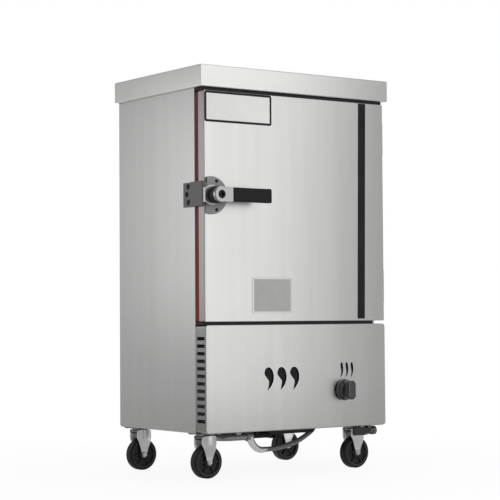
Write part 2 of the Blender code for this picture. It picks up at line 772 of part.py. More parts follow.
# Burner and its cradle
CRADLE_OFFSET = 0.055
CRADLE_WIDTH = 0.028
CRADLE_FOOT = 0.040
CRADLE_DROP = 0.040
CRADLE_SHEET = 0.003
BURNER_HALF_LENGTH = 0.078
BURNER_BAR_WIDTH = 0.020
BURNER_BAR_HEIGHT = 0.014
BURNER_BAR_COUNT = 3
JET_COUNT = 7
JET_RADIUS = 0.0035
JET_HEIGHT = 0.026
HORN_RADIUS = 0.011
HORN_LENGTH = 0.060
CRADLE_TOP = FLOOR_CLEARANCE - CRADLE_DROP + CRADLE_SHEET
BURNER_BASE = CRADLE_TOP + GAP
BURNER_BACK = DECK_BACK_EDGE - 2 * BURNER_BAR_WIDTH
BURNER_FRONT = DECK_FRONT_EDGE + BURNER_BAR_WIDTH
BURNER_MIDDLE = (BURNER_FRONT + BURNER_BACK) / 2
BURNER_TOP = BURNER_BASE + BURNER_BAR_HEIGHT


def make_burner_cradle():
    """Two cranked straps hung under the decks, tied by a cross strap, that carry the burner."""
    top = FLOOR_CLEARANCE - GAP
    bottom = FLOOR_CLEARANCE - CRADLE_DROP
    front = DECK_FRONT_EDGE + CRADLE_SHEET
    back = DECK_BACK_EDGE - CRADLE_SHEET
    outline = [
        (front - CRADLE_FOOT, top),
        (front, top),
        (front, CRADLE_TOP),
        (back, CRADLE_TOP),
        (back, top),
        (back + CRADLE_FOOT, top),
        (back + CRADLE_FOOT, top - CRADLE_SHEET),
        (back + CRADLE_SHEET, top - CRADLE_SHEET),
        (back + CRADLE_SHEET, bottom),
        (front - CRADLE_SHEET, bottom),
        (front - CRADLE_SHEET, top - CRADLE_SHEET),
        (front - CRADLE_FOOT, top - CRADLE_SHEET),
    ]
    straps = []
    for side in (-1, 1):
        centre = side * CRADLE_OFFSET
        straps.append(prism("X", outline, centre - CRADLE_WIDTH / 2, centre + CRADLE_WIDTH / 2))
    tie = block(
        (-CRADLE_OFFSET, BURNER_MIDDLE - CRADLE_WIDTH / 2, bottom),
        (CRADLE_OFFSET, BURNER_MIDDLE + CRADLE_WIDTH / 2, CRADLE_TOP),
    )
    piece("burner_cradle", joined(straps[0], tie, straps[1]), IRON)


def make_burner():
    """Cast manifold of parallel bars with rows of upright jets and a mixing horn."""
    half = BURNER_BAR_WIDTH / 2
    spread = (BURNER_BACK - BURNER_FRONT) / (BURNER_BAR_COUNT - 1)
    centres = [BURNER_FRONT + i * spread for i in range(BURNER_BAR_COUNT)]
    shape = block((-half, centres[0], BURNER_BASE), (half, centres[-1], BURNER_TOP))
    jets = []
    for centre in centres:
        outline = rounded(
            (-BURNER_HALF_LENGTH, centre - half), (BURNER_HALF_LENGTH, centre + half), half, 3
        )
        shape = joined(shape, prism("Z", outline, BURNER_BASE, BURNER_TOP))
        for i in range(JET_COUNT):
            across = (2 * i / (JET_COUNT - 1) - 1) * (BURNER_HALF_LENGTH - half)
            jets.append(turned(
                "Z",
                (across, centre),
                [(JET_RADIUS, BURNER_TOP - BURNER_BAR_HEIGHT / 2), (JET_RADIUS, BURNER_TOP + JET_HEIGHT)],
                6,
            ))
    horn_end = BURNER_HALF_LENGTH + HORN_LENGTH
    height = BURNER_BASE + HORN_RADIUS
    horn = turned(
        "X",
        (BURNER_MIDDLE, height),
        [
            (HORN_RADIUS * 0.8, BURNER_HALF_LENGTH - half),
            (HORN_RADIUS * 0.8, horn_end - HORN_LENGTH / 2),
            (HORN_RADIUS, horn_end - HORN_LENGTH / 4),
            (HORN_RADIUS, horn_end),
        ],
        12,
    )
    piece("burner", joined(shape, gathered(jets), horn), IRON)


def make_gas_line():
    """Inlet pipe through the rear and the floor, the looped hose and the feed to the burner."""
    bend = PIPE_BEND
    middle = 1 - math.sqrt(0.5)
    tail = BODY_BACK + PIPE_TAIL
    elbow = 2 * PIPE_RADIUS
    path = [
        (-PIPE_SIDE, tail, PIPE_RUN_Z),
        (-PIPE_SIDE, PIPE_RISER_Y + elbow, PIPE_RUN_Z),
        (-PIPE_SIDE, PIPE_RISER_Y + elbow * middle, PIPE_RUN_Z - elbow * middle),
        (-PIPE_SIDE, PIPE_RISER_Y, PIPE_RUN_Z - elbow),
        (-PIPE_SIDE, PIPE_RISER_Y, PIPE_Z + elbow),
        (-PIPE_SIDE, PIPE_RISER_Y - elbow * middle, PIPE_Z + elbow * middle),
        (-PIPE_SIDE, PIPE_RISER_Y - elbow, PIPE_Z),
        (-PIPE_SIDE, PIPE_Y + bend, PIPE_Z),
        (-PIPE_SIDE + bend * middle, PIPE_Y + bend * middle, PIPE_Z),
        (-PIPE_SIDE + bend, PIPE_Y, PIPE_Z),
        (-UNION_OFFSET + UNION_LENGTH / 2, PIPE_Y, PIPE_Z),
    ]
    union = turned(
        "X",
        (PIPE_Y, PIPE_Z),
        [(UNION_RADIUS, -UNION_OFFSET), (UNION_RADIUS, -UNION_OFFSET + UNION_LENGTH)],
        6,
    )
    top = FLOOR_CLEARANCE - GAP
    rear = DECK_BACK_EDGE + CLIP_BACK_SETBACK
    rear_clip = block(
        (-PIPE_SIDE, rear - CLIP_WIDTH / 2, FLOOR_CLEARANCE + BASE_SHEET + GAP),
        (-PIPE_SIDE + CLIP_WIDTH / 2, rear + CLIP_WIDTH / 2, PIPE_RUN_Z),
    )
    front_clip = block(
        (-CLIP_SIDE_OFFSET - CLIP_WIDTH / 2, PIPE_Y - CLIP_WIDTH / 3, PIPE_Z),
        (-CLIP_SIDE_OFFSET + CLIP_WIDTH / 2, PIPE_Y + CLIP_WIDTH / 3, top),
    )
    piece("gas_inlet_pipe", joined(tube(path, PIPE_RADIUS, 12), union, rear_clip, front_clip), STEEL)

    start = Vector(HOSE_START)
    shares = ((0.00, 0.00), (0.02, 0.00), (0.07, 0.22), (0.11, 0.66), (0.18, 0.95), (0.32, 1.00),
              (0.54, 0.80), (0.76, 0.50), (0.92, 0.14))
    route = [(start.x + across * HOSE_SPAN, PIPE_Y, PIPE_Z - drop * HOSE_DROP) for across, drop in shares]
    riser = FLOOR_CLEARANCE + BASE_SHEET
    bend_z = BASE_TOP + HOSE_HOLE
    route += [
        (HOSE_RISER_X, PIPE_Y, riser - HOSE_RADIUS / 2),
        (HOSE_RISER_X, PIPE_Y - HOSE_RADIUS, bend_z),
        (VALVE_X, (PIPE_Y + VALVE_Y) / 2, bend_z + HOSE_RADIUS * 2),
        (VALVE_X, VALVE_Y, HOSE_END_Z - HOSE_RADIUS * 2),
        (VALVE_X, VALVE_Y, HOSE_END_Z),
    ]
    piece("gas_hose", tube(curve_through(route, 2), HOSE_RADIUS, 8), CHROME)

    port = VALVE_X - VALVE_BODY_RADIUS - VALVE_PORT_LENGTH - GAP
    horn_x = BURNER_HALF_LENGTH + HORN_LENGTH + GAP
    horn_z = BURNER_BASE + HORN_RADIUS
    turn = FEED_RADIUS * 5
    route = [
        (port, VALVE_Y, VALVE_Z),
        (port - turn / 2, VALVE_Y, VALVE_Z),
        (port - turn, VALVE_Y + turn, VALVE_Z),
        (port - turn, BURNER_MIDDLE - turn, VALVE_Z - turn / 2),
        (port - turn, BURNER_MIDDLE, VALVE_Z - turn * 2),
        (horn_x + turn, BURNER_MIDDLE, FLOOR_CLEARANCE + turn),
        (horn_x + turn, BURNER_MIDDLE, horn_z + turn / 2),
        (horn_x + turn / 2, BURNER_MIDDLE, horn_z),
        (horn_x, BURNER_MIDDLE, horn_z),
    ]
    piece("burner_feed_pipe", tube(curve_through(route, 2), FEED_RADIUS, 8), CHROME)


# Gas valve and knob
SPINDLE_RADIUS = 0.004
SPINDLE_HOLE = 0.006
SPINDLE_SEAT = 0.020
SPINDLE_TRAVEL = 0.004
KNOB_STANDOFF = 0.0052
KNOB_RADIUS = 0.033
KNOB_SKIRT = 0.007
KNOB_DOME = 0.025
KNOB_DOME_HEIGHT = 0.011
KNOB_BAR_WIDTH = 0.013
KNOB_BAR_HEIGHT = 0.011
KNOB_BAR_SHARE = 0.92
KNOB_BORE_DEPTH = 0.012


def make_gas_valve():
    """Valve body behind the panel, its push spindle and the knob in front."""
    centre = (VALVE_X, VALVE_Z)
    barrel = turned(
        "Y",
        centre,
        [
            (VALVE_FLANGE_RADIUS, VALVE_FACE),
            (VALVE_FLANGE_RADIUS, VALVE_FACE + VALVE_FLANGE),
            (VALVE_BODY_RADIUS, VALVE_FACE + VALVE_FLANGE),
            (VALVE_BODY_RADIUS, VALVE_FACE + VALVE_LENGTH),
        ],
        16,
    )
    inlet = turned(
        "Z",
        (VALVE_X, VALVE_Y),
        [
            (VALVE_PORT_RADIUS, VALVE_Z - VALVE_BODY_RADIUS - VALVE_PORT_LENGTH),
            (VALVE_PORT_RADIUS, VALVE_Z),
        ],
        8,
    )
    outlet = turned(
        "X",
        (VALVE_Y, VALVE_Z),
        [
            (VALVE_PORT_RADIUS * 0.7, VALVE_X - VALVE_BODY_RADIUS - VALVE_PORT_LENGTH),
            (VALVE_PORT_RADIUS * 0.7, VALVE_X),
        ],
        8,
    )
    bore = turned(
        "Y",
        centre,
        [
            (SPINDLE_RADIUS + GAP, VALVE_FACE - OVERRUN),
            (SPINDLE_RADIUS + GAP, VALVE_FACE + SPINDLE_SEAT),
        ],
        12,
    )
    piece("gas_valve", cut(joined(barrel, inlet, outlet), bore), BRASS)

    knob_rear = PANEL_FRONT - KNOB_STANDOFF
    push = joint_axis("valve_push_axis", (VALVE_X, knob_rear, VALVE_Z))
    tip = VALVE_FACE + SPINDLE_SEAT - SPINDLE_TRAVEL - GAP
    spindle = turned(
        "Y",
        centre,
        [(SPINDLE_RADIUS, knob_rear - KNOB_BORE_DEPTH + GAP), (SPINDLE_RADIUS, tip)],
        12,
    )
    piece("valve_spindle", spindle, BRASS, axle=push)

    turn = joint_axis("knob_turn_axis", (VALVE_X, knob_rear, VALVE_Z), parent=push)
    dome_base = knob_rear - KNOB_SKIRT
    dome_top = dome_base - KNOB_DOME_HEIGHT
    bevel = KNOB_SKIRT / 4
    cap = turned(
        "Y",
        centre,
        [
            (KNOB_RADIUS, knob_rear),
            (KNOB_RADIUS, dome_base + bevel),
            (KNOB_RADIUS - bevel, dome_base),
            (KNOB_DOME, dome_base),
            (KNOB_DOME - bevel, dome_top + bevel),
            (KNOB_DOME - 2 * bevel, dome_top),
        ],
        24,
    )
    reach = KNOB_RADIUS * KNOB_BAR_SHARE
    bar_outline = rounded(
        (VALVE_X - KNOB_BAR_WIDTH / 2, VALVE_Z - reach), (VALVE_X + KNOB_BAR_WIDTH / 2, VALVE_Z + reach),
        KNOB_BAR_WIDTH / 2, 4,
    )
    bar = prism("Y", bar_outline, dome_top - KNOB_BAR_HEIGHT, dome_base + bevel)
    socket = turned(
        "Y",
        centre,
        [
            (SPINDLE_RADIUS + GAP, knob_rear + OVERRUN),
            (SPINDLE_RADIUS + GAP, knob_rear - KNOB_BORE_DEPTH),
        ],
        12,
    )
    piece("gas_knob", cut(joined(cap, bar), socket), BLACK_PLASTIC, axle=turn)


# Lower front panel
SLOT_COUNT = 12
SLOT_HEIGHT = 0.009
SLOT_TOP_MARGIN = 0.037
SLOT_BOTTOM_MARGIN = 0.0374
SLOT_PITCH = (PANEL_HEIGHT - SLOT_TOP_MARGIN - SLOT_BOTTOM_MARGIN) / (SLOT_COUNT - 1)
SLOT_FRONT_MARGIN = 0.006
SLOT_REAR_MARGIN = 0.0085
FLAME_WIDTH = 0.032
FLAME_HEIGHT = 0.066
FLAME_PITCH = 0.048
FLAME_CENTRE = -0.0645
FLAME_RISE = 0.125
FLAME_COUNT = 3
WISP_WIDTH = 0.0105
WISP_HEIGHT = 0.050
WISP_PITCH = 0.0205
WISP_RISE = 0.154
WISP_OFFSET = 0.015
FLAME_SHARES = (
    (0.42, 1.00), (0.84, 0.82), (1.00, 0.56), (0.93, 0.33), (0.66, 0.10), (0.33, 0.00),
    (0.44, 0.18), (0.46, 0.34), (0.34, 0.48), (0.12, 0.63), (0.00, 0.78), (0.12, 0.92),
)


def flame_outline(left, bottom, width, height):
    """Leaning drop with a round head and a hooked tail."""
    corners = [Vector((left + a * width, bottom + b * height, 0)) for a, b in FLAME_SHARES]
    count = len(corners)
    outline = []
    for i in range(count):
        a, b, c, d = (corners[(i + k - 1) % count] for k in range(4))
        outline.append((b.x, b.y))
        if i not in (4, 5):
            half = (9 * (b + c) - a - d) / 16
            outline.append((half.x, half.y))
    return outline


def make_lower_panel():
    """Folded panel with flame cut-outs, steam marks, the spindle's hole and slotted returns."""
    low = (-BODY_SIDE, FLOOR_CLEARANCE)
    high = (BODY_SIDE, PANEL_TOP)
    rear = BODY_FRONT - GAP
    shape = loft(
        "Y", folded_tray(low, high, EDGE_RADIUS, PANEL_FRONT, rear, EDGE_RADIUS, SHEET, 2)
    )
    near = PANEL_FRONT - OVERRUN
    far = PANEL_FRONT + OVERRUN
    tools = []
    for i in range(FLAME_COUNT):
        step = i - (FLAME_COUNT - 1) / 2
        left = FLAME_CENTRE + step * FLAME_PITCH - FLAME_WIDTH / 2
        outline = flame_outline(left, FLOOR_CLEARANCE + FLAME_RISE, FLAME_WIDTH, FLAME_HEIGHT)
        tools.append(prism("Y", outline, near, far))
        left = VALVE_X + WISP_OFFSET + step * WISP_PITCH - WISP_WIDTH / 2
        outline = flame_outline(left, FLOOR_CLEARANCE + WISP_RISE, WISP_WIDTH, WISP_HEIGHT)
        tools.append(prism("Y", outline, near, far))
    tools.append(prism("Y", circle((VALVE_X, VALVE_Z), SPINDLE_HOLE, 12), near, far))
    for side in (-1, 1):
        for i in range(SLOT_COUNT):
            centre = PANEL_TOP - SLOT_TOP_MARGIN - i * SLOT_PITCH
            slot = rounded(
                (PANEL_FRONT + SLOT_FRONT_MARGIN, centre - SLOT_HEIGHT / 2),
                (rear - SLOT_REAR_MARGIN, centre + SLOT_HEIGHT / 2),
                SLOT_HEIGHT / 2,
                1,
            )
            tools.append(prism("X", slot, side * BODY_SIDE - OVERRUN / 2, side * BODY_SIDE + OVERRUN / 2))
    shape = cut(shape, *tools)
    fold = EDGE_RADIUS + SHEET + GAP
    floor = block(
        (-BODY_SIDE + SHEET, PANEL_FRONT + SHEET, FLOOR_CLEARANCE - OVERRUN),
        (BODY_SIDE - SHEET, rear + OVERRUN, FLOOR_CLEARANCE + fold),
    )
    piece("lower_front_panel", cut(shape, floor), STEEL)


# Float box
FLOAT_WIDTH = 0.110
FLOAT_THICKNESS = 0.026
FLOAT_HEIGHT = 0.090
FLOAT_STUB = 0.030


def make_float_box():
    """Water feed box behind the tank, with its inlet stub through the back panel."""
    low = (INLET_X - FLOAT_WIDTH / 2, INLET_Z - FLOAT_HEIGHT / 2)
    high = (INLET_X + FLOAT_WIDTH / 2, INLET_Z + FLOAT_HEIGHT / 2)
    box = prism("Y", rounded(low, high, EDGE_RADIUS), BACK_RETURN - FLOAT_THICKNESS, BACK_RETURN)
    stub = turned(
        "Y",
        (INLET_X, INLET_Z),
        [(INLET_RADIUS, BACK_RETURN - FLOAT_THICKNESS / 2), (INLET_RADIUS, BODY_BACK + FLOAT_STUB)],
        12,
    )
    piece("float_box", joined(box, stub), STEEL)


def make_drain():
    """Drain pipe and ball valve under the front right corner, with a quarter-turn lever."""
    start = TANK_LOW[1] - GAP - SHEET
    height = TANK_BOTTOM + TANK_ROUND + SHEET + DRAIN_PIPE_RADIUS
    bend = (start - DRAIN_Y) / 2
    middle = 1 - math.sqrt(0.5)
    across = min(DRAIN_X, TANK_HIGH[0] - CORNER_RADIUS - DRAIN_PIPE_RADIUS)
    path = [
        (across, start, height),
        (across, DRAIN_Y + bend, height),
        (across, DRAIN_Y + bend * middle, height - bend * middle),
        (DRAIN_X, DRAIN_Y, height - bend),
        (DRAIN_X, DRAIN_Y, DRAIN_Z),
    ]
    middle_axis = (DRAIN_Y, DRAIN_Z)
    half = DRAIN_BODY_LENGTH / 2
    body = turned(
        "X",
        middle_axis,
        [
            (DRAIN_NUT_RADIUS, DRAIN_X - half),
            (DRAIN_NUT_RADIUS, DRAIN_X - half + DRAIN_NUT_LENGTH),
            (DRAIN_BODY_RADIUS, DRAIN_X - half + DRAIN_NUT_LENGTH),
            (DRAIN_BODY_RADIUS, DRAIN_X + half - DRAIN_NUT_LENGTH),
            (DRAIN_NUT_RADIUS, DRAIN_X + half - DRAIN_NUT_LENGTH),
            (DRAIN_NUT_RADIUS, DRAIN_X + half),
        ],
        12,
    )
    stem_front = DRAIN_Y - DRAIN_BODY_RADIUS - 2 * GAP - LEVER_SHEET - EDGE_RADIUS / 2
    stem = turned(
        "Y", (DRAIN_X, DRAIN_Z), [(STEM_RADIUS, DRAIN_Y), (STEM_RADIUS, stem_front)], 12
    )
    piece("drain_valve", joined(tube(path, DRAIN_PIPE_RADIUS, 12), body, stem), BRASS)

    rear = DRAIN_Y - DRAIN_NUT_RADIUS - GAP
    turn = joint_axis("drain_turn_axis", (DRAIN_X, rear, DRAIN_Z))
    hub = prism("Y", circle((DRAIN_X, DRAIN_Z), LEVER_HUB, 16), rear, rear - LEVER_SHEET)
    arm = block(
        (DRAIN_X - LEVER_LENGTH + EDGE_RADIUS, rear - LEVER_SHEET, DRAIN_Z - LEVER_WIDTH / 2),
        (DRAIN_X, rear, DRAIN_Z + LEVER_WIDTH / 2),
    )
    middle_y = rear - LEVER_SHEET / 2
    grip_outline = rounded(
        (middle_y - SLEEVE_THICKNESS / 2, DRAIN_Z - SLEEVE_WIDTH / 2),
        (middle_y + SLEEVE_THICKNESS / 2, DRAIN_Z + SLEEVE_WIDTH / 2),
        EDGE_RADIUS,
    )
    sleeve = prism("X", grip_outline, DRAIN_X - LEVER_LENGTH, DRAIN_X - LEVER_LENGTH + SLEEVE_LENGTH)
    eye = prism(
        "Y", circle((DRAIN_X, DRAIN_Z), STEM_RADIUS + GAP, 12), rear + OVERRUN, rear - OVERRUN
    )
    piece("drain_lever", cut(joined(hub, arm, sleeve), eye), BLACK_PLASTIC, axle=turn)


# Hinges
HINGE_HEIGHT = 0.100
HINGE_INSET = 0.110
HINGE_SHEET = 0.0025
KNUCKLE_RADIUS = 0.007
KNUCKLE_GAP = 0.0005
PIN_RADIUS = 0.003
PIN_HEAD = 0.0055
PIN_HEAD_HEIGHT = 0.003
BODY_LEAF = 0.054
DOOR_LEAF = 0.041
LEAF_RELIEF = 0.0088
HINGE_X = BODY_SIDE + GAP + KNUCKLE_RADIUS
HINGE_Y = BODY_FRONT - 0.5 * (GASKET_DEPTH + GAP)
HINGE_CENTRES = (("upper", DOOR_TOP - HINGE_INSET), ("lower", DOOR_BOTTOM + HINGE_INSET))


def hinge_leaf(way, length, knuckles):
    """Leaf along Y from its knuckles, which lie between given heights."""
    plate_x = (-KNUCKLE_RADIUS, -KNUCKLE_RADIUS + HINGE_SHEET)
    ends = sorted((way * LEAF_RELIEF, way * length))
    shape = block(
        (plate_x[0], ends[0], -HINGE_HEIGHT / 2), (plate_x[1], ends[1], HINGE_HEIGHT / 2)
    )
    ends = sorted((0, way * (LEAF_RELIEF + HINGE_SHEET)))
    for bottom, top in knuckles:
        neck = block((plate_x[0], ends[0], bottom), (plate_x[1], ends[1], top))
        knuckle = prism("Z", circle((0, 0), KNUCKLE_RADIUS, 12), bottom, top)
        shape = joined(shape, neck, knuckle)
    bore = prism("Z", circle((0, 0), PIN_RADIUS + GAP, 10), -HINGE_HEIGHT, HINGE_HEIGHT)
    return cut(shape, bore)


def make_hinges(door_axle):
    """Two hinges on the right edge, each of two leaves and a pin."""
    third = HINGE_HEIGHT / 6
    half = HINGE_HEIGHT / 2
    body_mesh = hinge_leaf(1, BODY_LEAF, [(-half, -third - KNUCKLE_GAP), (third + KNUCKLE_GAP, half)])
    door_mesh = hinge_leaf(-1, DOOR_LEAF, [(-third, third)])
    pin_mesh = turned(
        "Z",
        (0, 0),
        [
            (PIN_RADIUS, -half),
            (PIN_RADIUS, half + GAP),
            (PIN_HEAD, half + GAP),
            (PIN_HEAD, half + GAP + PIN_HEAD_HEIGHT * 0.6),
            (PIN_HEAD * 0.6, half + GAP + PIN_HEAD_HEIGHT),
        ],
        12,
    )
    for name, height in HINGE_CENTRES:
        place = (HINGE_X, HINGE_Y, height)
        piece(f"hinge_{name}_body_leaf", body_mesh, STEEL, place=place)
        piece(f"hinge_{name}_pin", pin_mesh, CHROME, place=place)
        piece(f"hinge_{name}_door_leaf", door_mesh, STEEL, place=place, axle=door_axle)


# Door
DOOR_FLANGE = 0.015
GASKET_INSET = 0.002
GASKET_WIDTH = 0.025
GASKET_GROOVE = 0.002
PLUG_MARGIN = 0.045
PLUG_SLOPE = 0.010
PLUG_DEPTH = 0.0075
DOOR_LOW = (-BODY_SIDE, DOOR_BOTTOM)
DOOR_HIGH = (BODY_SIDE, DOOR_TOP)


def make_door(axle):
    """Overlay door: pressed outer shell, inner panel and the gasket round its edge."""
    sections = folded_tray(
        DOOR_LOW, DOOR_HIGH, EDGE_RADIUS, DOOR_FRONT, DOOR_REAR, EDGE_RADIUS, SHEET, 2
    )

    def outline(inset):
        return inset_rounded(DOOR_LOW, DOOR_HIGH, EDGE_RADIUS, inset, 2)

    flange = [
        (outline(DOOR_FLANGE), DOOR_REAR),
        (outline(DOOR_FLANGE), DOOR_REAR - SHEET),
        (outline(SHEET), DOOR_REAR - SHEET),
    ]
    sections = sections[:4] + flange + sections[5:]
    piece("door_shell", loft("Y", sections), STEEL, axle=axle)

    near = DOOR_REAR + GAP
    panel = loft("Y", [
        (outline(PLUG_MARGIN + PLUG_SLOPE), near + SHEET + PLUG_DEPTH),
        (outline(PLUG_MARGIN), near + SHEET),
        (outline(EDGE_RADIUS / 2), near + SHEET),
        (outline(EDGE_RADIUS / 2), near),
        (outline(PLUG_MARGIN + SHEET / 2), near),
        (outline(PLUG_MARGIN + PLUG_SLOPE + SHEET / 2), near + PLUG_DEPTH),
    ])
    piece("door_inner_panel", panel, INNER_STEEL, axle=axle)

    back = BODY_FRONT - GAP
    third = GASKET_DEPTH / 3
    inner = GASKET_INSET + GASKET_WIDTH
    gasket = loft("Y", [
        (outline(GASKET_INSET), GASKET_FRONT),
        (outline(GASKET_INSET), GASKET_FRONT + third),
        (outline(GASKET_INSET + GASKET_GROOVE), GASKET_FRONT + 1.5 * third),
        (outline(GASKET_INSET), GASKET_FRONT + 2 * third),
        (outline(GASKET_INSET + GASKET_GROOVE), back),
        (outline(inner - GASKET_GROOVE), back),
        (outline(inner), GASKET_FRONT + third),
        (outline(inner), GASKET_FRONT),
    ], closed=True)
    piece("door_gasket", gasket, RED_RUBBER, axle=axle)


# Latch and keeper
LATCH_X_INSET = 0.023
LATCH_Z_SHARE = 0.545
LATCH_FLANGE_RADIUS = 0.057
LATCH_FLANGE = 0.005
LATCH_FLANGE_CUT = 0.0215
LATCH_POST = 0.016
LATCH_HUB = 0.0245
LATCH_HUB_FRONT = 0.060
LATCH_TONGUE_REAR = 0.011
LATCH_TONGUE = 0.0125
TONGUE_REACH = 0.036
TONGUE_HALF = 0.030
TONGUE_TIP_HALF = 0.022
BOLT_RADIUS = 0.006
BOLT_HEAD = 0.0127
BOLT_RECESS = 0.008
BOLT_PROUD = 0.0015
ARM_HALF = 0.022
ARM_THICKNESS = 0.012
ARM_REACH = 0.042
TANG_HALF = 0.012
TANG_THICKNESS = 0.006
TANG_REACH = 0.168
GRIP_REACH = 0.180
GRIP_HALF = 0.0215
GRIP_THICKNESS = 0.016
GRIP_ROUND = 0.005
KEEPER_HEIGHT = 0.074
KEEPER_PLATE = 0.004
KEEPER_REACH = 0.057
KEEPER_BODY = 0.0142
KEEPER_STEP = 0.006
KEEPER_WALL = 0.004
KEEPER_FRONT = 0.010
KEEPER_SIDE_GAP = 0.0012
KEEPER_RISE = 0.005
KEEPER_HOLE = 0.003
LATCH_X = -BODY_SIDE + LATCH_X_INSET
LATCH_Z = DOOR_BOTTOM + LATCH_Z_SHARE * (DOOR_TOP - DOOR_BOTTOM)


def make_latch(door_axle):
    """Rotary latch: flange and post on the door, pivot bolt, lever with its tongue, and grip."""
    centre = (LATCH_X, LATCH_Z)
    flange_rear = DOOR_FRONT - GAP
    flange_face = flange_rear - LATCH_FLANGE
    hub_front = DOOR_FRONT - LATCH_HUB_FRONT
    tongue_rear = DOOR_FRONT - LATCH_TONGUE_REAR
    tongue_front = tongue_rear - LATCH_TONGUE
    post_front = tongue_front
    opening = math.degrees(math.acos(LATCH_FLANGE_CUT / LATCH_FLANGE_RADIUS))
    outline = arc(centre, LATCH_FLANGE_RADIUS, opening - 180, 180 - opening, 24)
    flange = prism("Y", outline, flange_rear, flange_face)
    post = turned(
        "Y",
        centre,
        [
            (LATCH_POST + LATCH_FLANGE, flange_face + LATCH_FLANGE / 2),
            (LATCH_POST + LATCH_FLANGE, flange_face - GAP),
            (LATCH_POST, flange_face - LATCH_FLANGE / 2),
            (LATCH_POST, post_front),
        ],
        24,
    )
    seat = turned(
        "Y",
        centre,
        [(BOLT_RADIUS + GAP, post_front - OVERRUN), (BOLT_RADIUS + GAP, flange_face + GAP)],
        12,
    )
    piece("latch_base", cut(joined(flange, post), seat), CAST, axle=door_axle)

    recess = hub_front + BOLT_RECESS
    bolt = turned(
        "Y",
        centre,
        [
            (BOLT_RADIUS, flange_face),
            (BOLT_RADIUS, recess - GAP),
            (BOLT_HEAD, recess - GAP),
            (BOLT_HEAD, hub_front),
            (BOLT_HEAD * 0.8, hub_front - BOLT_PROUD),
        ],
        12,
    )
    piece("latch_bolt", bolt, BLACK_PLASTIC, axle=door_axle)

    turn = joint_axis("latch_turn_axis", (LATCH_X, hub_front, LATCH_Z), parent=door_axle)
    hub = turned(
        "Y",
        centre,
        [
            (LATCH_HUB, tongue_rear),
            (LATCH_HUB, hub_front + EDGE_RADIUS / 2),
            (LATCH_HUB - EDGE_RADIUS / 2, hub_front),
        ],
        24,
    )
    tongue_outline = [
        (LATCH_X, LATCH_Z - TONGUE_HALF),
        (LATCH_X, LATCH_Z + TONGUE_HALF),
        (LATCH_X - TONGUE_REACH * 0.55, LATCH_Z + TONGUE_HALF),
        (LATCH_X - TONGUE_REACH, LATCH_Z + TONGUE_TIP_HALF),
        (LATCH_X - TONGUE_REACH, LATCH_Z - TONGUE_TIP_HALF),
        (LATCH_X - TONGUE_REACH * 0.55, LATCH_Z - TONGUE_HALF),
    ]
    tongue = prism("Y", tongue_outline, tongue_rear, tongue_front)
    arm_back = hub_front + ARM_THICKNESS
    arm_end = LATCH_X + ARM_REACH
    arm = block(
        (LATCH_X, hub_front + GAP, LATCH_Z - ARM_HALF), (arm_end, arm_back, LATCH_Z + ARM_HALF)
    )
    middle_y = hub_front + ARM_THICKNESS / 2
    tang = block(
        (LATCH_X + LATCH_HUB, middle_y - TANG_THICKNESS / 2, LATCH_Z - TANG_HALF),
        (LATCH_X + TANG_REACH, middle_y + TANG_THICKNESS / 2, LATCH_Z + TANG_HALF),
    )
    tools = [
        turned(
            "Y",
            centre,
            [(LATCH_POST + GAP, tongue_rear + OVERRUN), (LATCH_POST + GAP, post_front - GAP)],
            24,
        ),
        turned(
            "Y",
            centre,
            [(BOLT_HEAD + GAP, hub_front - OVERRUN), (BOLT_HEAD + GAP, recess)],
            24,
        ),
    ]
    lever = cut(joined(hub, tongue, arm, tang), *tools)
    bore = turned(
        "Y",
        centre,
        [(BOLT_RADIUS + GAP, tongue_rear + OVERRUN), (BOLT_RADIUS + GAP, hub_front - OVERRUN)],
        12,
    )
    piece("latch_lever", cut(lever, bore), CHROME, axle=turn)

    low = (middle_y - GRIP_THICKNESS / 2, LATCH_Z - GRIP_HALF)
    high = (middle_y + GRIP_THICKNESS / 2, LATCH_Z + GRIP_HALF)
    start = arm_end + GAP
    end = LATCH_X + GRIP_REACH
    small = inset_rounded(low, high, GRIP_ROUND, GRIP_ROUND / 2)
    full = inset_rounded(low, high, GRIP_ROUND, 0)
    grip = loft("X", [
        (small, start),
        (full, start + GRIP_ROUND / 2),
        (full, end - GRIP_ROUND / 2),
        (small, end),
    ])
    pocket = block(
        (start - OVERRUN, middle_y - TANG_THICKNESS / 2 - GAP, LATCH_Z - TANG_HALF - GAP),
        (LATCH_X + TANG_REACH + GAP, middle_y + TANG_THICKNESS / 2 + GAP, LATCH_Z + TANG_HALF + GAP),
    )
    piece("latch_grip", cut(grip, pocket), BLACK_PLASTIC, axle=turn)


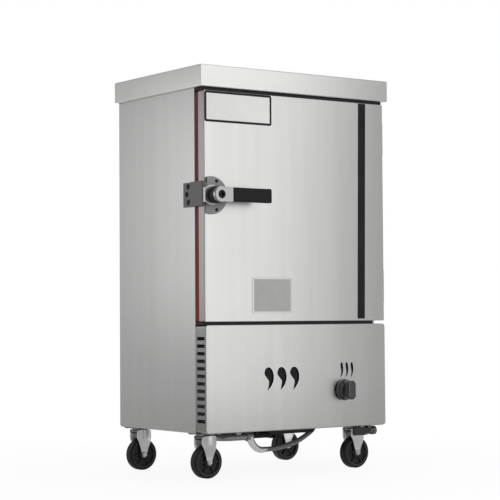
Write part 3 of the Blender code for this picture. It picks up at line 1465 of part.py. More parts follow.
def make_keeper():
    """Cast strike on the side panel, which reaches forward past the door's edge."""
    wall = -BODY_SIDE - GAP
    rim = -BODY_SIDE - KEEPER_SIDE_GAP
    outer = wall - KEEPER_BODY
    front = DOOR_FRONT - KEEPER_FRONT
    plate_back = BODY_FRONT + KEEPER_REACH
    step = BODY_FRONT + KEEPER_STEP
    outline = [
        (wall, plate_back),
        (wall, step),
        (rim, BODY_FRONT),
        (rim, BODY_FRONT - KEEPER_WALL),
        (outer + KEEPER_WALL, BODY_FRONT - KEEPER_WALL),
        (outer + KEEPER_WALL, front + KEEPER_WALL),
        (rim, front + KEEPER_WALL),
        (rim, front),
        (outer + KEEPER_WALL / 2, front),
        (outer, front + KEEPER_WALL),
        (outer, BODY_FRONT),
        (wall - KEEPER_PLATE, step + KEEPER_WALL),
        (wall - KEEPER_PLATE, plate_back),
    ]
    bottom = LATCH_Z + KEEPER_RISE - KEEPER_HEIGHT / 2
    top = bottom + KEEPER_HEIGHT
    shape = prism("Z", outline, bottom, top)
    tools = []
    for across_share, up_share in ((0.62, 0.80), (0.72, 0.50), (0.62, 0.20)):
        centre = (BODY_FRONT + KEEPER_REACH * across_share, bottom + KEEPER_HEIGHT * up_share)
        tools.append(prism("X", circle(centre, KEEPER_HOLE, 8), wall + OVERRUN / 2, wall - OVERRUN))
    piece("keeper", cut(shape, *tools), CAST)


# Caster parts
FORK_RADIUS = 0.033
FORK_CROWN = 0.027
KINGPIN_RADIUS = 0.0075
RACE_RADIUS = 0.031
MOUNT_LENGTH = 0.084
MOUNT_WIDTH = 0.070
MOUNT_SLOT_RADIUS = 0.004
MOUNT_SLOT_INSET = 0.009
LEG_SHEET = 0.003
LEG_TOP_HALF = 0.021
LEG_AXLE_HALF = 0.0085
LEG_TIP_HALF = 0.0035
LEG_TIP_DROP = 0.0125
LEG_SPREAD = 0.0115
AXLE_RADIUS = 0.006
AXLE_HEAD = 0.0085
AXLE_HEAD_THICKNESS = 0.005
HUB_RADIUS = 0.016
HUB_PROUD = 0.0015
HUB_SIDE_GAP = 0.0008
TREAD_ROUND = 0.004
POCKET_COUNT = 6
POCKET_DEPTH = 0.005
POCKET_INNER = 0.019
POCKET_OUTER = 0.041
POCKET_SPAN = 46
HUB_FACE = WHEEL_WIDTH / 2 + HUB_PROUD
LEG_INNER = HUB_FACE + HUB_SIDE_GAP
CROWN_BOTTOM = 2 * WHEEL_RADIUS + WHEEL_TOP_GAP
CROWN_TOP = CROWN_BOTTOM + CASTER_HEAD_HEIGHT
RACE_TOP = CROWN_TOP + GAP + CASTER_RACE_HEIGHT
CASTER_LEFT = -BODY_SIDE + CASTER_LEFT_INSET
CASTER_RIGHT = BODY_SIDE - CASTER_RIGHT_INSET
CASTER_FRONT = BASE_FRONT + CASTER_FRONT_INSET
CASTER_BACK = BODY_BACK - CASTER_BACK_INSET
CASTER_PLACES = (
    ("front_left", CASTER_LEFT, CASTER_FRONT),
    ("front_right", CASTER_RIGHT, CASTER_FRONT),
    ("rear_left", CASTER_LEFT, CASTER_BACK),
    ("rear_right", CASTER_RIGHT, CASTER_BACK),
)


def caster_plate_mesh():
    """Mounting plate with slotted corners over the upper ball race."""
    low = (-MOUNT_LENGTH / 2, -MOUNT_WIDTH / 2)
    high = (MOUNT_LENGTH / 2, MOUNT_WIDTH / 2)
    plate = prism("Z", rounded(low, high, EDGE_RADIUS * 2, 2), RACE_TOP, RACE_TOP + CASTER_PLATE)
    race = ring_turned(
        "Z",
        (0, 0),
        [
            (KINGPIN_RADIUS + GAP, CROWN_TOP + GAP),
            (RACE_RADIUS * 0.9, CROWN_TOP + GAP),
            (RACE_RADIUS, CROWN_TOP + CASTER_RACE_HEIGHT / 4),
            (RACE_RADIUS, RACE_TOP + CASTER_PLATE / 2),
            (KINGPIN_RADIUS + GAP, RACE_TOP + CASTER_PLATE / 2),
        ],
        16,
    )
    shape = joined(plate, race)
    slots = []
    for side in (-1, 1):
        for way in (-1, 1):
            across = side * (MOUNT_LENGTH / 2 - MOUNT_SLOT_INSET)
            up = way * (MOUNT_WIDTH / 2 - MOUNT_SLOT_INSET)
            slots.append(prism(
                "Z", circle((across, up), MOUNT_SLOT_RADIUS, 8), RACE_TOP - OVERRUN / 2, RACE_TOP + OVERRUN
            ))
    return cut(shape, *slots)


def fork_leg(side):
    """Tapered leg from the crown's edge down to the axle."""
    inner_top = LEG_INNER + LEG_SPREAD

    def outline(half, inner):
        ends = sorted((side * inner, side * (inner + LEG_SHEET)))
        return rectangle((CASTER_TRAIL - half, ends[0]), (CASTER_TRAIL + half, ends[1]))

    knee = WHEEL_RADIUS + LEG_TOP_HALF
    shoulder = CROWN_BOTTOM + CASTER_HEAD_HEIGHT / 4
    knee_share = (knee - WHEEL_RADIUS) / (shoulder - WHEEL_RADIUS)
    knee_half = LEG_AXLE_HALF + (LEG_TOP_HALF - LEG_AXLE_HALF) * knee_share
    tip = WHEEL_RADIUS - LEG_TIP_DROP
    return loft("Z", [
        (outline(LEG_TIP_HALF, LEG_INNER), tip),
        (outline((LEG_TIP_HALF + LEG_AXLE_HALF) / 2, LEG_INNER), tip + LEG_TIP_HALF / 2),
        (outline(LEG_AXLE_HALF, LEG_INNER), WHEEL_RADIUS),
        (outline(knee_half, LEG_INNER), knee),
        (outline(LEG_TOP_HALF, inner_top), shoulder),
        (outline(LEG_TOP_HALF * 0.8, inner_top - LEG_SHEET), CROWN_TOP - CASTER_HEAD_HEIGHT / 4),
    ])


def caster_fork_mesh():
    """Swivel head with its kingpin, two legs and the axle bolt."""
    head = turned(
        "Z",
        (0, 0),
        [
            (FORK_CROWN, CROWN_BOTTOM),
            (FORK_RADIUS, CROWN_BOTTOM + CASTER_HEAD_HEIGHT * 0.4),
            (FORK_RADIUS, CROWN_BOTTOM + CASTER_HEAD_HEIGHT * 0.8),
            (FORK_RADIUS * 0.85, CROWN_TOP),
            (KINGPIN_RADIUS, CROWN_TOP),
            (KINGPIN_RADIUS, RACE_TOP - GAP),
        ],
        16,
    )
    outer = LEG_INNER + LEG_SHEET
    axle = turned(
        "Y",
        (CASTER_TRAIL, WHEEL_RADIUS),
        [
            (AXLE_HEAD, -outer - AXLE_HEAD_THICKNESS),
            (AXLE_HEAD, -outer + LEG_SHEET / 3),
            (AXLE_RADIUS, -outer + LEG_SHEET / 3),
            (AXLE_RADIUS, outer - LEG_SHEET / 3),
            (AXLE_HEAD, outer - LEG_SHEET / 3),
            (AXLE_HEAD, outer + AXLE_HEAD_THICKNESS),
        ],
        12,
    )
    return joined(head, fork_leg(-1), fork_leg(1), axle)


def caster_wheel_mesh():
    """Wheel about its own centre, with a rounded tread and pockets between ribs on both faces."""
    half = WHEEL_WIDTH / 2
    corner = WHEEL_RADIUS - TREAD_ROUND
    shape = ring_turned(
        "Y",
        (0, 0),
        [
            (AXLE_RADIUS + GAP, -HUB_FACE),
            (HUB_RADIUS, -HUB_FACE),
            (HUB_RADIUS, -half),
            (corner, -half),
            (WHEEL_RADIUS, -half + TREAD_ROUND),
            (WHEEL_RADIUS, half - TREAD_ROUND),
            (corner, half),
            (HUB_RADIUS, half),
            (HUB_RADIUS, HUB_FACE),
            (AXLE_RADIUS + GAP, HUB_FACE),
        ],
        28,
    )
    pockets = []
    for i in range(POCKET_COUNT):
        middle = 360 * i / POCKET_COUNT
        start = middle - POCKET_SPAN / 2
        end = middle + POCKET_SPAN / 2
        outline = arc((0, 0), POCKET_OUTER, start, end, 3) + arc((0, 0), POCKET_INNER, end, start, 1)
        for side in (-1, 1):
            pockets.append(prism("Y", outline, side * (half - POCKET_DEPTH), side * (half + OVERRUN)))
    return cut(shape, *pockets)


def make_casters():
    """Four casters: plate on the frame, swivelling fork and free wheel."""
    plate = caster_plate_mesh()
    fork = caster_fork_mesh()
    wheel = caster_wheel_mesh()
    for name, across, depth in CASTER_PLACES:
        place = (across, depth, 0)
        hub = (across + CASTER_TRAIL, depth, WHEEL_RADIUS)
        swivel = joint_axis(f"{name}_swivel_axis", place)
        spin = joint_axis(f"{name}_wheel_axis", hub, parent=swivel)
        piece(f"caster_{name}_plate", plate, STEEL, place=place)
        piece(f"caster_{name}_fork", fork, CHROME, place=place, axle=swivel)
        piece(f"caster_{name}_wheel", wheel, BLACK_RUBBER, place=hub, axle=spin)


def main():
    """Build every piece of the cabinet."""
    for item in list(bpy.data.objects):
        bpy.data.objects.remove(item, do_unlink=True)
    make_top_cover()
    make_side_panels()
    make_back_panel()
    make_flue_outlet()
    make_front_frame()
    make_chamber_liner()
    make_insulation()
    make_rail_racks()
    make_trays()
    make_water_tank()
    make_steam_plate()
    make_base_frame()
    make_burner_cradle()
    make_burner()
    make_gas_line()
    make_gas_valve()
    make_lower_panel()
    make_float_box()
    make_drain()
    door_axle = joint_axis("door_swing_axis", (HINGE_X, HINGE_Y, DOOR_BOTTOM))
    make_door(door_axle)
    make_hinges(door_axle)
    make_latch(door_axle)
    make_keeper()
    make_casters()


main()
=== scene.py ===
"""Looks of the gas steaming cabinet: fine shapes, finishes, light and camera.

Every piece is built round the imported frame, whose node boxes give its place.
Lengths are in metres, +Z is up and the front faces -Y.
"""

import json
import logging
from dataclasses import dataclass
from enum import Enum
from functools import reduce
from math import acos, asin, copysign, cos, degrees, pi, radians, sin, sqrt

import bmesh
import bpy
from mathutils import Matrix, Vector

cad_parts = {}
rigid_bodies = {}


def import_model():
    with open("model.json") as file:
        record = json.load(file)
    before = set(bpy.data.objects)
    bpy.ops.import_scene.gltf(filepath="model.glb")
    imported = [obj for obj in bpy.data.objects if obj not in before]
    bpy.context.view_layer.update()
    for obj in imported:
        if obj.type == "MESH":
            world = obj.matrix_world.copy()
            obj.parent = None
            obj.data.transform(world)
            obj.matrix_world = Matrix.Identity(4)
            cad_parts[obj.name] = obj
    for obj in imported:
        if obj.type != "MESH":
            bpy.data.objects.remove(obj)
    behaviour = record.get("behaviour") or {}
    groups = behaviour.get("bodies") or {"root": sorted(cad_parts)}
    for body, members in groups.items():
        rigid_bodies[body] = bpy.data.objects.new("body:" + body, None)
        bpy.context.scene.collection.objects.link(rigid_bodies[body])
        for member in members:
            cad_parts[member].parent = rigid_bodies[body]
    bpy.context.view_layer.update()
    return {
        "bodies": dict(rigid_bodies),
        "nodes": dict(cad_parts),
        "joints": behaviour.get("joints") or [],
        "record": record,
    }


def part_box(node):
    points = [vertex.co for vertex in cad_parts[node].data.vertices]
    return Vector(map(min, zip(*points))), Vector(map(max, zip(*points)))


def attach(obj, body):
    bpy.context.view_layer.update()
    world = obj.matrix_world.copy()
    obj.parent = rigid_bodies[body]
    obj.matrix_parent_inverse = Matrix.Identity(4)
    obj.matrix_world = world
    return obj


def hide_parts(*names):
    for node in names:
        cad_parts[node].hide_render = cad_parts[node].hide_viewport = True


LOG = logging.getLogger("steaming_cabinet")

Mesh = bpy.types.Mesh
Item = bpy.types.Object
Material = bpy.types.Material
Node = bpy.types.Node
Socket = bpy.types.NodeSocket
Tree = bpy.types.NodeTree

Point = tuple[float, float]
Place = tuple[float, float, float]
Outline = list[Point]
Colour = tuple[float, float, float]

SHEET = 0.0012
GAP = 0.0003
OVERRUN = 0.010
QUARTER = pi / 2
FULL = pi * 2


class Axis(Enum):
    """Axis along which a shape is drawn out or turned."""

    X = (1.0, 0.0, 0.0)
    Y = (0.0, 1.0, 0.0)
    Z = (0.0, 0.0, 1.0)


def world_point(axis: Axis, across: float, up: float, along: float) -> Place:
    """Point of an outline that is square to an axis, at a place along it."""
    places = {Axis.X: (along, across, up), Axis.Y: (across, along, up), Axis.Z: (across, up, along)}
    return places[axis]


def circle(centre: Point, radius: float, sides: int) -> Outline:
    """Outline of a circle with a number of sides."""
    turns = [FULL / sides * (i + 0.5) for i in range(sides)]
    return [(centre[0] + radius * cos(turn), centre[1] + radius * sin(turn)) for turn in turns]


def arc(centre: Point, radius: float, start: float, end: float, steps: int) -> Outline:
    """Points along an arc, between two angles in degrees."""
    turns = [radians(start + (end - start) * i / steps) for i in range(steps + 1)]
    return [(centre[0] + radius * cos(turn), centre[1] + radius * sin(turn)) for turn in turns]


def rounded(low: Point, high: Point, radius: float, inset: float = 0.0, steps: int = 6) -> Outline:
    """Outline of a rectangle with round corners, drawn in by an inset.

    Args:
        low: Lowest corner.
        high: Highest corner.
        radius: Radius of the corners before the inset.
        inset: Distance that every side moves in.
        steps: Stretches in each corner.

    Returns:
        The points in order.
    """
    low = (low[0] + inset, low[1] + inset)
    high = (high[0] - inset, high[1] - inset)
    limit = min(high[0] - low[0], high[1] - low[1]) / 2.001
    radius = min(max(radius - inset, radius / 4), limit)
    middles = (
        (high[0] - radius, high[1] - radius),
        (low[0] + radius, high[1] - radius),
        (low[0] + radius, low[1] + radius),
        (high[0] - radius, low[1] + radius),
    )
    outline = []
    for quarter, middle in enumerate(middles):
        outline += arc(middle, radius, quarter * 90, quarter * 90 + 90, steps)
    return outline


def released(bm: bmesh.types.BMesh) -> Mesh:
    """Write a mesh under construction to a plain one.

    Args:
        bm: Mesh under construction, which is freed.

    Returns:
        The plain mesh.
    """
    mesh = bpy.data.meshes.new("shape")
    bm.to_mesh(mesh)
    bm.free()
    return mesh


def finished(bm: bmesh.types.BMesh) -> Mesh:
    """Turn the faces outwards and hand the mesh over."""
    bmesh.ops.recalc_face_normals(bm, faces=bm.faces)
    return released(bm)


def skin(rings: list[list[Place]], closed: bool = False) -> Mesh:
    """Mesh through rings of equal point count.

    Args:
        rings: Points of each ring.
        closed: Whether the last ring joins the first, instead of both being filled.

    Returns:
        The mesh.
    """
    bm = bmesh.new()
    rows = [[bm.verts.new(point) for point in ring] for ring in rings]
    for near, far in zip(rows, rows[1:] + rows[:closed]):
        for i in range(len(near)):
            j = (i + 1) % len(near)
            bm.faces.new((near[i], near[j], far[j], far[i]))
    if not closed:
        bm.faces.new(rows[0])
        bm.faces.new(rows[-1])
    return finished(bm)


def loft(axis: Axis, sections: list[tuple[Outline, float]], closed: bool = False) -> Mesh:
    """Mesh through outlines square to an axis, each with its place along it."""
    rings = [[world_point(axis, *point, along) for point in outline] for outline, along in sections]
    return skin(rings, closed)


def stepped(
    axis: Axis, low: Point, high: Point, corner: float, steps: Outline, arcs: int = 6, closed: bool = False
) -> Mesh:
    """Mesh of a rectangle with round corners, from pairs of inset and place along an axis."""
    sections = [(rounded(low, high, corner, inset, arcs), along) for inset, along in steps]
    return loft(axis, sections, closed)


def prism(axis: Axis, outline: Outline, start: float, end: float, edge: float = 0.0) -> Mesh:
    """Outline drawn out along an axis, with its two rims softened if an edge is given.

    Args:
        axis: Axis that the outline is square to.
        outline: The outline, which is drawn in towards its middle at a soft rim.
        start: First place along the axis.
        end: Last place along the axis.
        edge: Size of the softened rim.

    Returns:
        The mesh.
    """
    if edge == 0.0:
        return loft(axis, [(outline, start), (outline, end)])
    way = copysign(edge, end - start)
    small = shrunk(outline, edge)
    middle = shrunk(outline, edge * 0.29)
    return loft(axis, [
        (small, start),
        (middle, start + way * 0.29),
        (outline, start + way),
        (outline, end - way),
        (middle, end - way * 0.29),
        (small, end),
    ])


def shrunk(outline: Outline, inset: float) -> Outline:
    """Outline whose points move in square to its own run.

    Args:
        outline: Points in order, turning either way.
        inset: Distance that the run moves in.

    Returns:
        The points of the smaller outline.
    """
    area = sum(a[0] * b[1] - b[0] * a[1] for a, b in zip(outline, outline[1:] + outline[:1]))
    way = 1.0 if area > 0 else -1.0
    moved = []
    count = len(outline)
    for i, point in enumerate(outline):
        before = Vector(outline[i - 1])
        after = Vector(outline[(i + 1) % count])
        here = Vector(point)
        first = (here - before).normalized()
        second = (after - here).normalized()
        inward = Vector((-first.y - second.y, first.x + second.x)) * way
        length = max(inward.length, 0.2)
        moved.append(tuple(here + inward * (2 * inset / length**2)))
    return moved


def block(low: Vector | tuple, high: Vector | tuple, edge: float = 0.0) -> Mesh:
    """Box between two corners, with soft upper and lower rims if an edge is given.

    Args:
        low: Lowest corner.
        high: Highest corner.
        edge: Size of the softened edges.

    Returns:
        The mesh.
    """
    if edge == 0.0:
        outline = [(low[0], low[1]), (high[0], low[1]), (high[0], high[1]), (low[0], high[1])]
        return prism(Axis.Z, outline, low[2], high[2])
    outline = rounded((low[0], low[1]), (high[0], high[1]), edge, steps=3)
    return prism(Axis.Z, outline, low[2], high[2], edge)


def turned(axis: Axis, centre: Point, profile: Outline, sides: int = 48, closed: bool = False) -> Mesh:
    """Solid of revolution, from pairs of radius and place along its axis."""
    return loft(axis, [(circle(centre, radius, sides), along) for radius, along in profile], closed)


def curve_through(points: list[Vector], steps: int) -> list[Vector]:
    """Path with a straight leg at each end and a smooth curve through the points between.

    Args:
        points: Points that the path passes through.
        steps: Stretches between two points.

    Returns:
        The points of the path.
    """
    path = [Vector(point) for point in points]
    smooth = [path[0]]
    for a, b, c, d in zip(path, path[1:], path[2:], path[3:]):
        for i in range(steps):
            t = i / steps
            smooth.append(
                b
                + (c - a) * t / 2
                + (2 * a - 5 * b + 4 * c - d) * t**2 / 2
                + (3 * b - a - 3 * c + d) * t**3 / 2
            )
    return smooth + path[-2:]


def evenly_spaced(path: list[Vector], pitch: float) -> list[Vector]:
    """Points a fixed distance apart along a path.

    Args:
        path: Points of the path.
        pitch: Distance between the new points.

    Returns:
        The new points, with both ends kept.
    """
    lengths = [0.0]
    for a, b in zip(path, path[1:]):
        lengths.append(lengths[-1] + (b - a).length)
    count = max(2, round(lengths[-1] / pitch))
    points = []
    index = 0
    for i in range(count + 1):
        wanted = lengths[-1] * i / count
        while index < len(path) - 2 and lengths[index + 1] < wanted:
            index += 1
        span = lengths[index + 1] - lengths[index]
        share = (wanted - lengths[index]) / span if span > 0 else 0.0
        points.append(path[index].lerp(path[index + 1], min(max(share, 0.0), 1.0)))
    return points


def tube(path: list[Vector], radii: list[float], sides: int) -> Mesh:
    """Round bar along a path, with flat ends.

    Args:
        path: Points of its middle line.
        radii: Radius at each point, or one radius for all.
        sides: Number of facets round it.

    Returns:
        The mesh.
    """
    rings = []
    across = (path[1] - path[0]).normalized().orthogonal().normalized()
    for i, point in enumerate(path):
        radius = radii[i] if len(radii) > 1 else radii[0]
        heading = (path[min(i + 1, len(path) - 1)] - path[max(i - 1, 0)]).normalized()
        across = (across - heading * across.dot(heading)).normalized()
        up = heading.cross(across)
        ring = []
        for k in range(sides):
            angle = FULL * k / sides
            ring.append(point + (across * cos(angle) + up * sin(angle)) * radius)
        rings.append(ring)
    return skin(rings)


def gathered(meshes: list[Mesh]) -> Mesh:
    """Several shapes in one mesh.

    Args:
        meshes: The shapes, which are used up.

    Returns:
        One mesh that holds them all.
    """
    bm = bmesh.new()
    for mesh in meshes:
        bm.from_mesh(mesh)
        bpy.data.meshes.remove(mesh)
    return released(bm)


def scene_object(data: bpy.types.ID, name: str = "shape") -> Item:
    """Put a mesh, a lamp or a camera in the scene.

    Args:
        data: What the object holds.
        name: Name of the new object.

    Returns:
        The new object.
    """
    made = bpy.data.objects.new(name, data)
    bpy.context.scene.collection.objects.link(made)
    return made


def applied(item: Item) -> Mesh:
    """Mesh that an object's modifiers leave, after which the object is removed.

    Args:
        item: The object.

    Returns:
        The evaluated mesh.
    """
    graph = bpy.context.evaluated_depsgraph_get()
    mesh = bpy.data.meshes.new_from_object(item.evaluated_get(graph))
    bpy.data.objects.remove(item)
    return mesh


def combined(first: Mesh, second: Mesh, operation: str) -> Mesh:
    """Mesh that a Boolean of two closed meshes leaves.

    Args:
        first: Mesh that is worked on.
        second: Mesh that is added or taken away.
        operation: UNION or DIFFERENCE.

    Returns:
        The new mesh.
    """
    target = scene_object(first)
    tool = scene_object(second)
    step = target.modifiers.new("combine", "BOOLEAN")
    step.operation = operation
    step.object = tool
    mesh = applied(target)
    bpy.data.objects.remove(tool)
    return mesh


def joined(first: Mesh, *others: Mesh) -> Mesh:
    """Union of overlapping meshes, added one after another."""
    return reduce(lambda whole, other: combined(whole, other, "UNION"), others, first)


def cut(mesh: Mesh, *tools: Mesh) -> Mesh:
    """Mesh less its cutters, which don't touch each other."""
    return combined(mesh, gathered(list(tools)), "DIFFERENCE")


def fillet(edge: float, level: float, radius: float, steps: int = 6) -> Outline:
    """Quarter round from a wall up to a flat face, as it stands in a turned profile."""
    return [(edge - inset, level + depth) for inset, depth in reversed(fillet_steps(radius, steps))]


def fillet_steps(radius: float, steps: int = 6) -> list[Point]:
    """Insets and depths of a quarter round, from the flat face to the wall."""
    turns = [QUARTER * i / steps for i in range(steps + 1)]
    return [(radius * (1 - sin(turn)), radius * (1 - cos(turn))) for turn in turns]


@dataclass(frozen=True)
class Pan:
    """Folded sheet pan: a flat face with round edges and walls back to a rim."""

    low: Point
    high: Point
    corner: float
    face: float
    rim: float
    fillet: float
    flange: float = 0.0

    def mesh(self) -> Mesh:
        """Build the pan along Y, with a flange turned in at its rim if it has one.

        Returns:
            The mesh.
        """
        way = copysign(1.0, self.rim - self.face)
        outer = fillet_steps(self.fillet)
        steps = [(inset, self.face + way * depth) for inset, depth in outer]
        steps.append((0.0, self.rim))
        if self.flange > 0.0:
            back = self.rim - way * SHEET
            steps += [(self.flange, self.rim), (self.flange, back), (SHEET, back)]
        else:
            steps.append((SHEET, self.rim))
        steps += [(inset + SHEET, self.face + way * (depth + SHEET)) for inset, depth in reversed(outer)]
        return stepped(Axis.Y, self.low, self.high, self.corner, steps)


class Nodes:
    """Node tree under construction, with one call that adds, sets and links a node."""

    def __init__(self, tree: Tree) -> None:
        """Take the tree that the nodes go into."""
        self.tree = tree

    def add(self, kind: str, inputs: dict | None = None, **settings: object) -> Node:
        """Add a node.

        Args:
            kind: Blender's name of the node type.
            inputs: Values or sockets by input name or number.
            settings: Properties of the node.

        Returns:
            The new node.
        """
        node = self.tree.nodes.new(kind)
        for key, value in settings.items():
            setattr(node, key, value)
        for key, value in (inputs or {}).items():
            self.feed(node.inputs[key], value)
        return node

    def feed(self, socket: Socket, value: object) -> None:
        """Link a socket to another, or give it a value.

        Args:
            socket: Socket that is fed.
            value: The other socket, or the value.
        """
        if isinstance(value, Socket):
            self.tree.links.new(value, socket)
        else:
            socket.default_value = value

    def math(self, operation: str, first: object, second: object = 0.0) -> Socket:
        """Result of a Math node."""
        return self.add("ShaderNodeMath", {0: first, 1: second}, operation=operation).outputs[0]

    def noise(self, vector: Socket, scale: object, detail: float) -> Socket:
        """Value of a noise texture."""
        return self.add("ShaderNodeTexNoise", {"Vector": vector, "Scale": scale, "Detail": detail}).outputs[0]


KINDS = {tuple: "Vector", float: "Float", int: "Int"}


def new_tree(kind: str, name: str, inputs: dict[str, object], outputs: dict[str, str]) -> Nodes:
    """Node group with named inputs and outputs.

    Args:
        kind: Type of the tree.
        name: Name of the group.
        inputs: Default of each input by name, or the kind of its socket where it has none.
        outputs: Kind of each output's socket by name.

    Returns:
        The group under construction.
    """
    tree = bpy.data.node_groups.new(name, kind)
    for label, value in inputs.items():
        socket = KINDS.get(type(value), value)
        made = tree.interface.new_socket(label, in_out="INPUT", socket_type=f"NodeSocket{socket}")
        if socket != value:
            made.default_value = value
    for label, socket in outputs.items():
        tree.interface.new_socket(label, in_out="OUTPUT", socket_type=f"NodeSocket{socket}")
    return Nodes(tree)


class Effect(Enum):
    """Effects that several finishes share, each a shader group."""

    BRUSHED = "Brushed grain"
    SMUDGED = "Handling marks"
    CAST = "Cast skin"
    SOILED = "Soil near the floor"
    FOLDED = "Tone of folded returns"


class Effects:
    """Shader groups of the shared effects, each built once."""

    def __init__(self) -> None:
        """Build the groups."""
        self.trees: dict[Effect, Tree] = {}
        self.brushed()
        self.smudged()
        self.cast()
        self.soiled()
        self.folded()

    def begun(self, effect: Effect, *outputs: str, **inputs: object) -> tuple[Nodes, object, Socket]:
        """Start the group of an effect.

        Args:
            effect: Effect that the group makes.
            outputs: Names of its outputs, each a plain value.
            inputs: Default of each input by name.

        Returns:
            The group, its inputs and the object's coordinates.
        """
        nodes = new_tree("ShaderNodeTree", effect.value, inputs, dict.fromkeys(outputs, "Float"))
        self.trees[effect] = nodes.tree
        return nodes, nodes.add("NodeGroupInput").outputs, nodes.add("ShaderNodeTexCoord").outputs["Object"]

    def brushed(self) -> None:
        """Fine lines and wide bands drawn along one direction."""
        even = (1.0, 1.0, 1.0)
        nodes, given, place = self.begun(Effect.BRUSHED, "Line", "Band", Lines=even, Bands=even)
        fine = nodes.add("ShaderNodeVectorMath", {0: place, 1: given["Lines"]}, operation="MULTIPLY")
        wide = nodes.add("ShaderNodeVectorMath", {0: place, 1: given["Bands"]}, operation="MULTIPLY")
        line = nodes.noise(fine.outputs[0], 1.0, 3.0)
        band = nodes.noise(wide.outputs[0], 1.0, 2.0)
        nodes.add("NodeGroupOutput", {"Line": line, "Band": band})

    def smudged(self) -> None:
        """Cloudy marks of wiping and handling."""
        nodes, given, place = self.begun(Effect.SMUDGED, "Mark", Scale=8.0, Spread=0.5)
        cloud = nodes.noise(place, given["Scale"], 4.0)
        fine = nodes.noise(place, nodes.math("MULTIPLY", given["Scale"], 5.0), 2.0)
        total = nodes.math("ADD", nodes.math("MULTIPLY", cloud, 0.7), nodes.math("MULTIPLY", fine, 0.3))
        away = nodes.math("MULTIPLY", nodes.math("SUBTRACT", total, 0.5), given["Spread"])
        nodes.add("NodeGroupOutput", {"Mark": nodes.math("ADD", away, 0.5)})

    def cast(self) -> None:
        """Pebbled skin of cast or moulded parts."""
        nodes, given, place = self.begun(Effect.CAST, "Skin", Scale=900.0)
        cells = nodes.add("ShaderNodeTexVoronoi", {"Vector": place, "Scale": given["Scale"]})
        fine = nodes.noise(place, nodes.math("MULTIPLY", given["Scale"], 1.7), 3.0)
        skin = nodes.math("ADD", nodes.math("MULTIPLY", cells.outputs["Distance"], 0.5), fine)
        nodes.add("NodeGroupOutput", {"Skin": nodes.math("MULTIPLY", skin, 0.6)})

    def soiled(self) -> None:
        """Mask that grows from nothing at a height down to the floor, broken up by noise."""
        nodes, given, place = self.begun(Effect.SOILED, "Soil", Height=0.2)
        level = nodes.add("ShaderNodeSeparateXYZ", {0: place}).outputs["Z"]
        low = nodes.add("ShaderNodeMapRange", {
            "Value": level, "From Min": given["Height"], "From Max": 0.0, "To Min": 0.0, "To Max": 1.0,
        })
        cloud = nodes.noise(place, 45.0, 5.0)
        nodes.add("NodeGroupOutput", {"Soil": nodes.math("MULTIPLY", low.outputs[0], cloud)})

    def folded(self) -> None:
        """Mask of the painted shade on the returns, which lie past a distance to either side of the middle.
        """
        nodes, given, place = self.begun(Effect.FOLDED, "Fold", Side=0.344)
        across = nodes.math("ABSOLUTE", nodes.add("ShaderNodeSeparateXYZ", {0: place}).outputs["X"])
        past = nodes.math("MULTIPLY", nodes.math("SUBTRACT", across, given["Side"]), 1200.0)
        past.node.use_clamp = True
        nodes.add("NodeGroupOutput", {"Fold": past})


class Recipe(Nodes):
    """Material under construction, with its shader and the groups of the shared effects."""

    def __init__(self, name: str, trees: dict[Effect, Tree]) -> None:
        """Start the material.

        Args:
            name: Name of the material.
            trees: Groups of the shared effects.
        """
        self.material = bpy.data.materials.new(name)
        self.material.use_nodes = True
        super().__init__(self.material.node_tree)
        self.shader = self.tree.nodes["Principled BSDF"]
        self.trees = trees

    def effect(self, effect: Effect, **inputs: object) -> object:
        """Outputs of an effect that is given the material's own values."""
        return self.add("ShaderNodeGroup", inputs, node_tree=self.trees[effect]).outputs

    def colour(self, factor: Socket, first: object, second: object) -> None:
        """Feed the base colour with a mix of two colours."""
        mix = self.add("ShaderNodeMix", {0: factor, 6: first, 7: second}, data_type="RGBA")
        self.feed(self.shader.inputs["Base Color"], mix.outputs[2])

    def stain_and_shade(self, amount: Socket, colour: Colour) -> None:
        """Mix the base colour with another one where a mask says so."""
        clean = self.shader.inputs["Base Color"].links[0].from_socket
        self.colour(amount, clean, (*colour, 1.0))

    def between(self, factor: Socket, low: float, high: float) -> Socket:
        """Value that a factor moves from a low to a high one."""
        return self.add("ShaderNodeMapRange", {"Value": factor, "To Min": low, "To Max": high}).outputs[0]

    def bump(self, height: Socket, depth: float) -> None:
        """Raise the surface by a height."""
        raised = self.add("ShaderNodeBump", {"Height": height, "Strength": 1.0, "Distance": depth})
        self.feed(self.shader.inputs["Normal"], raised.outputs[0])


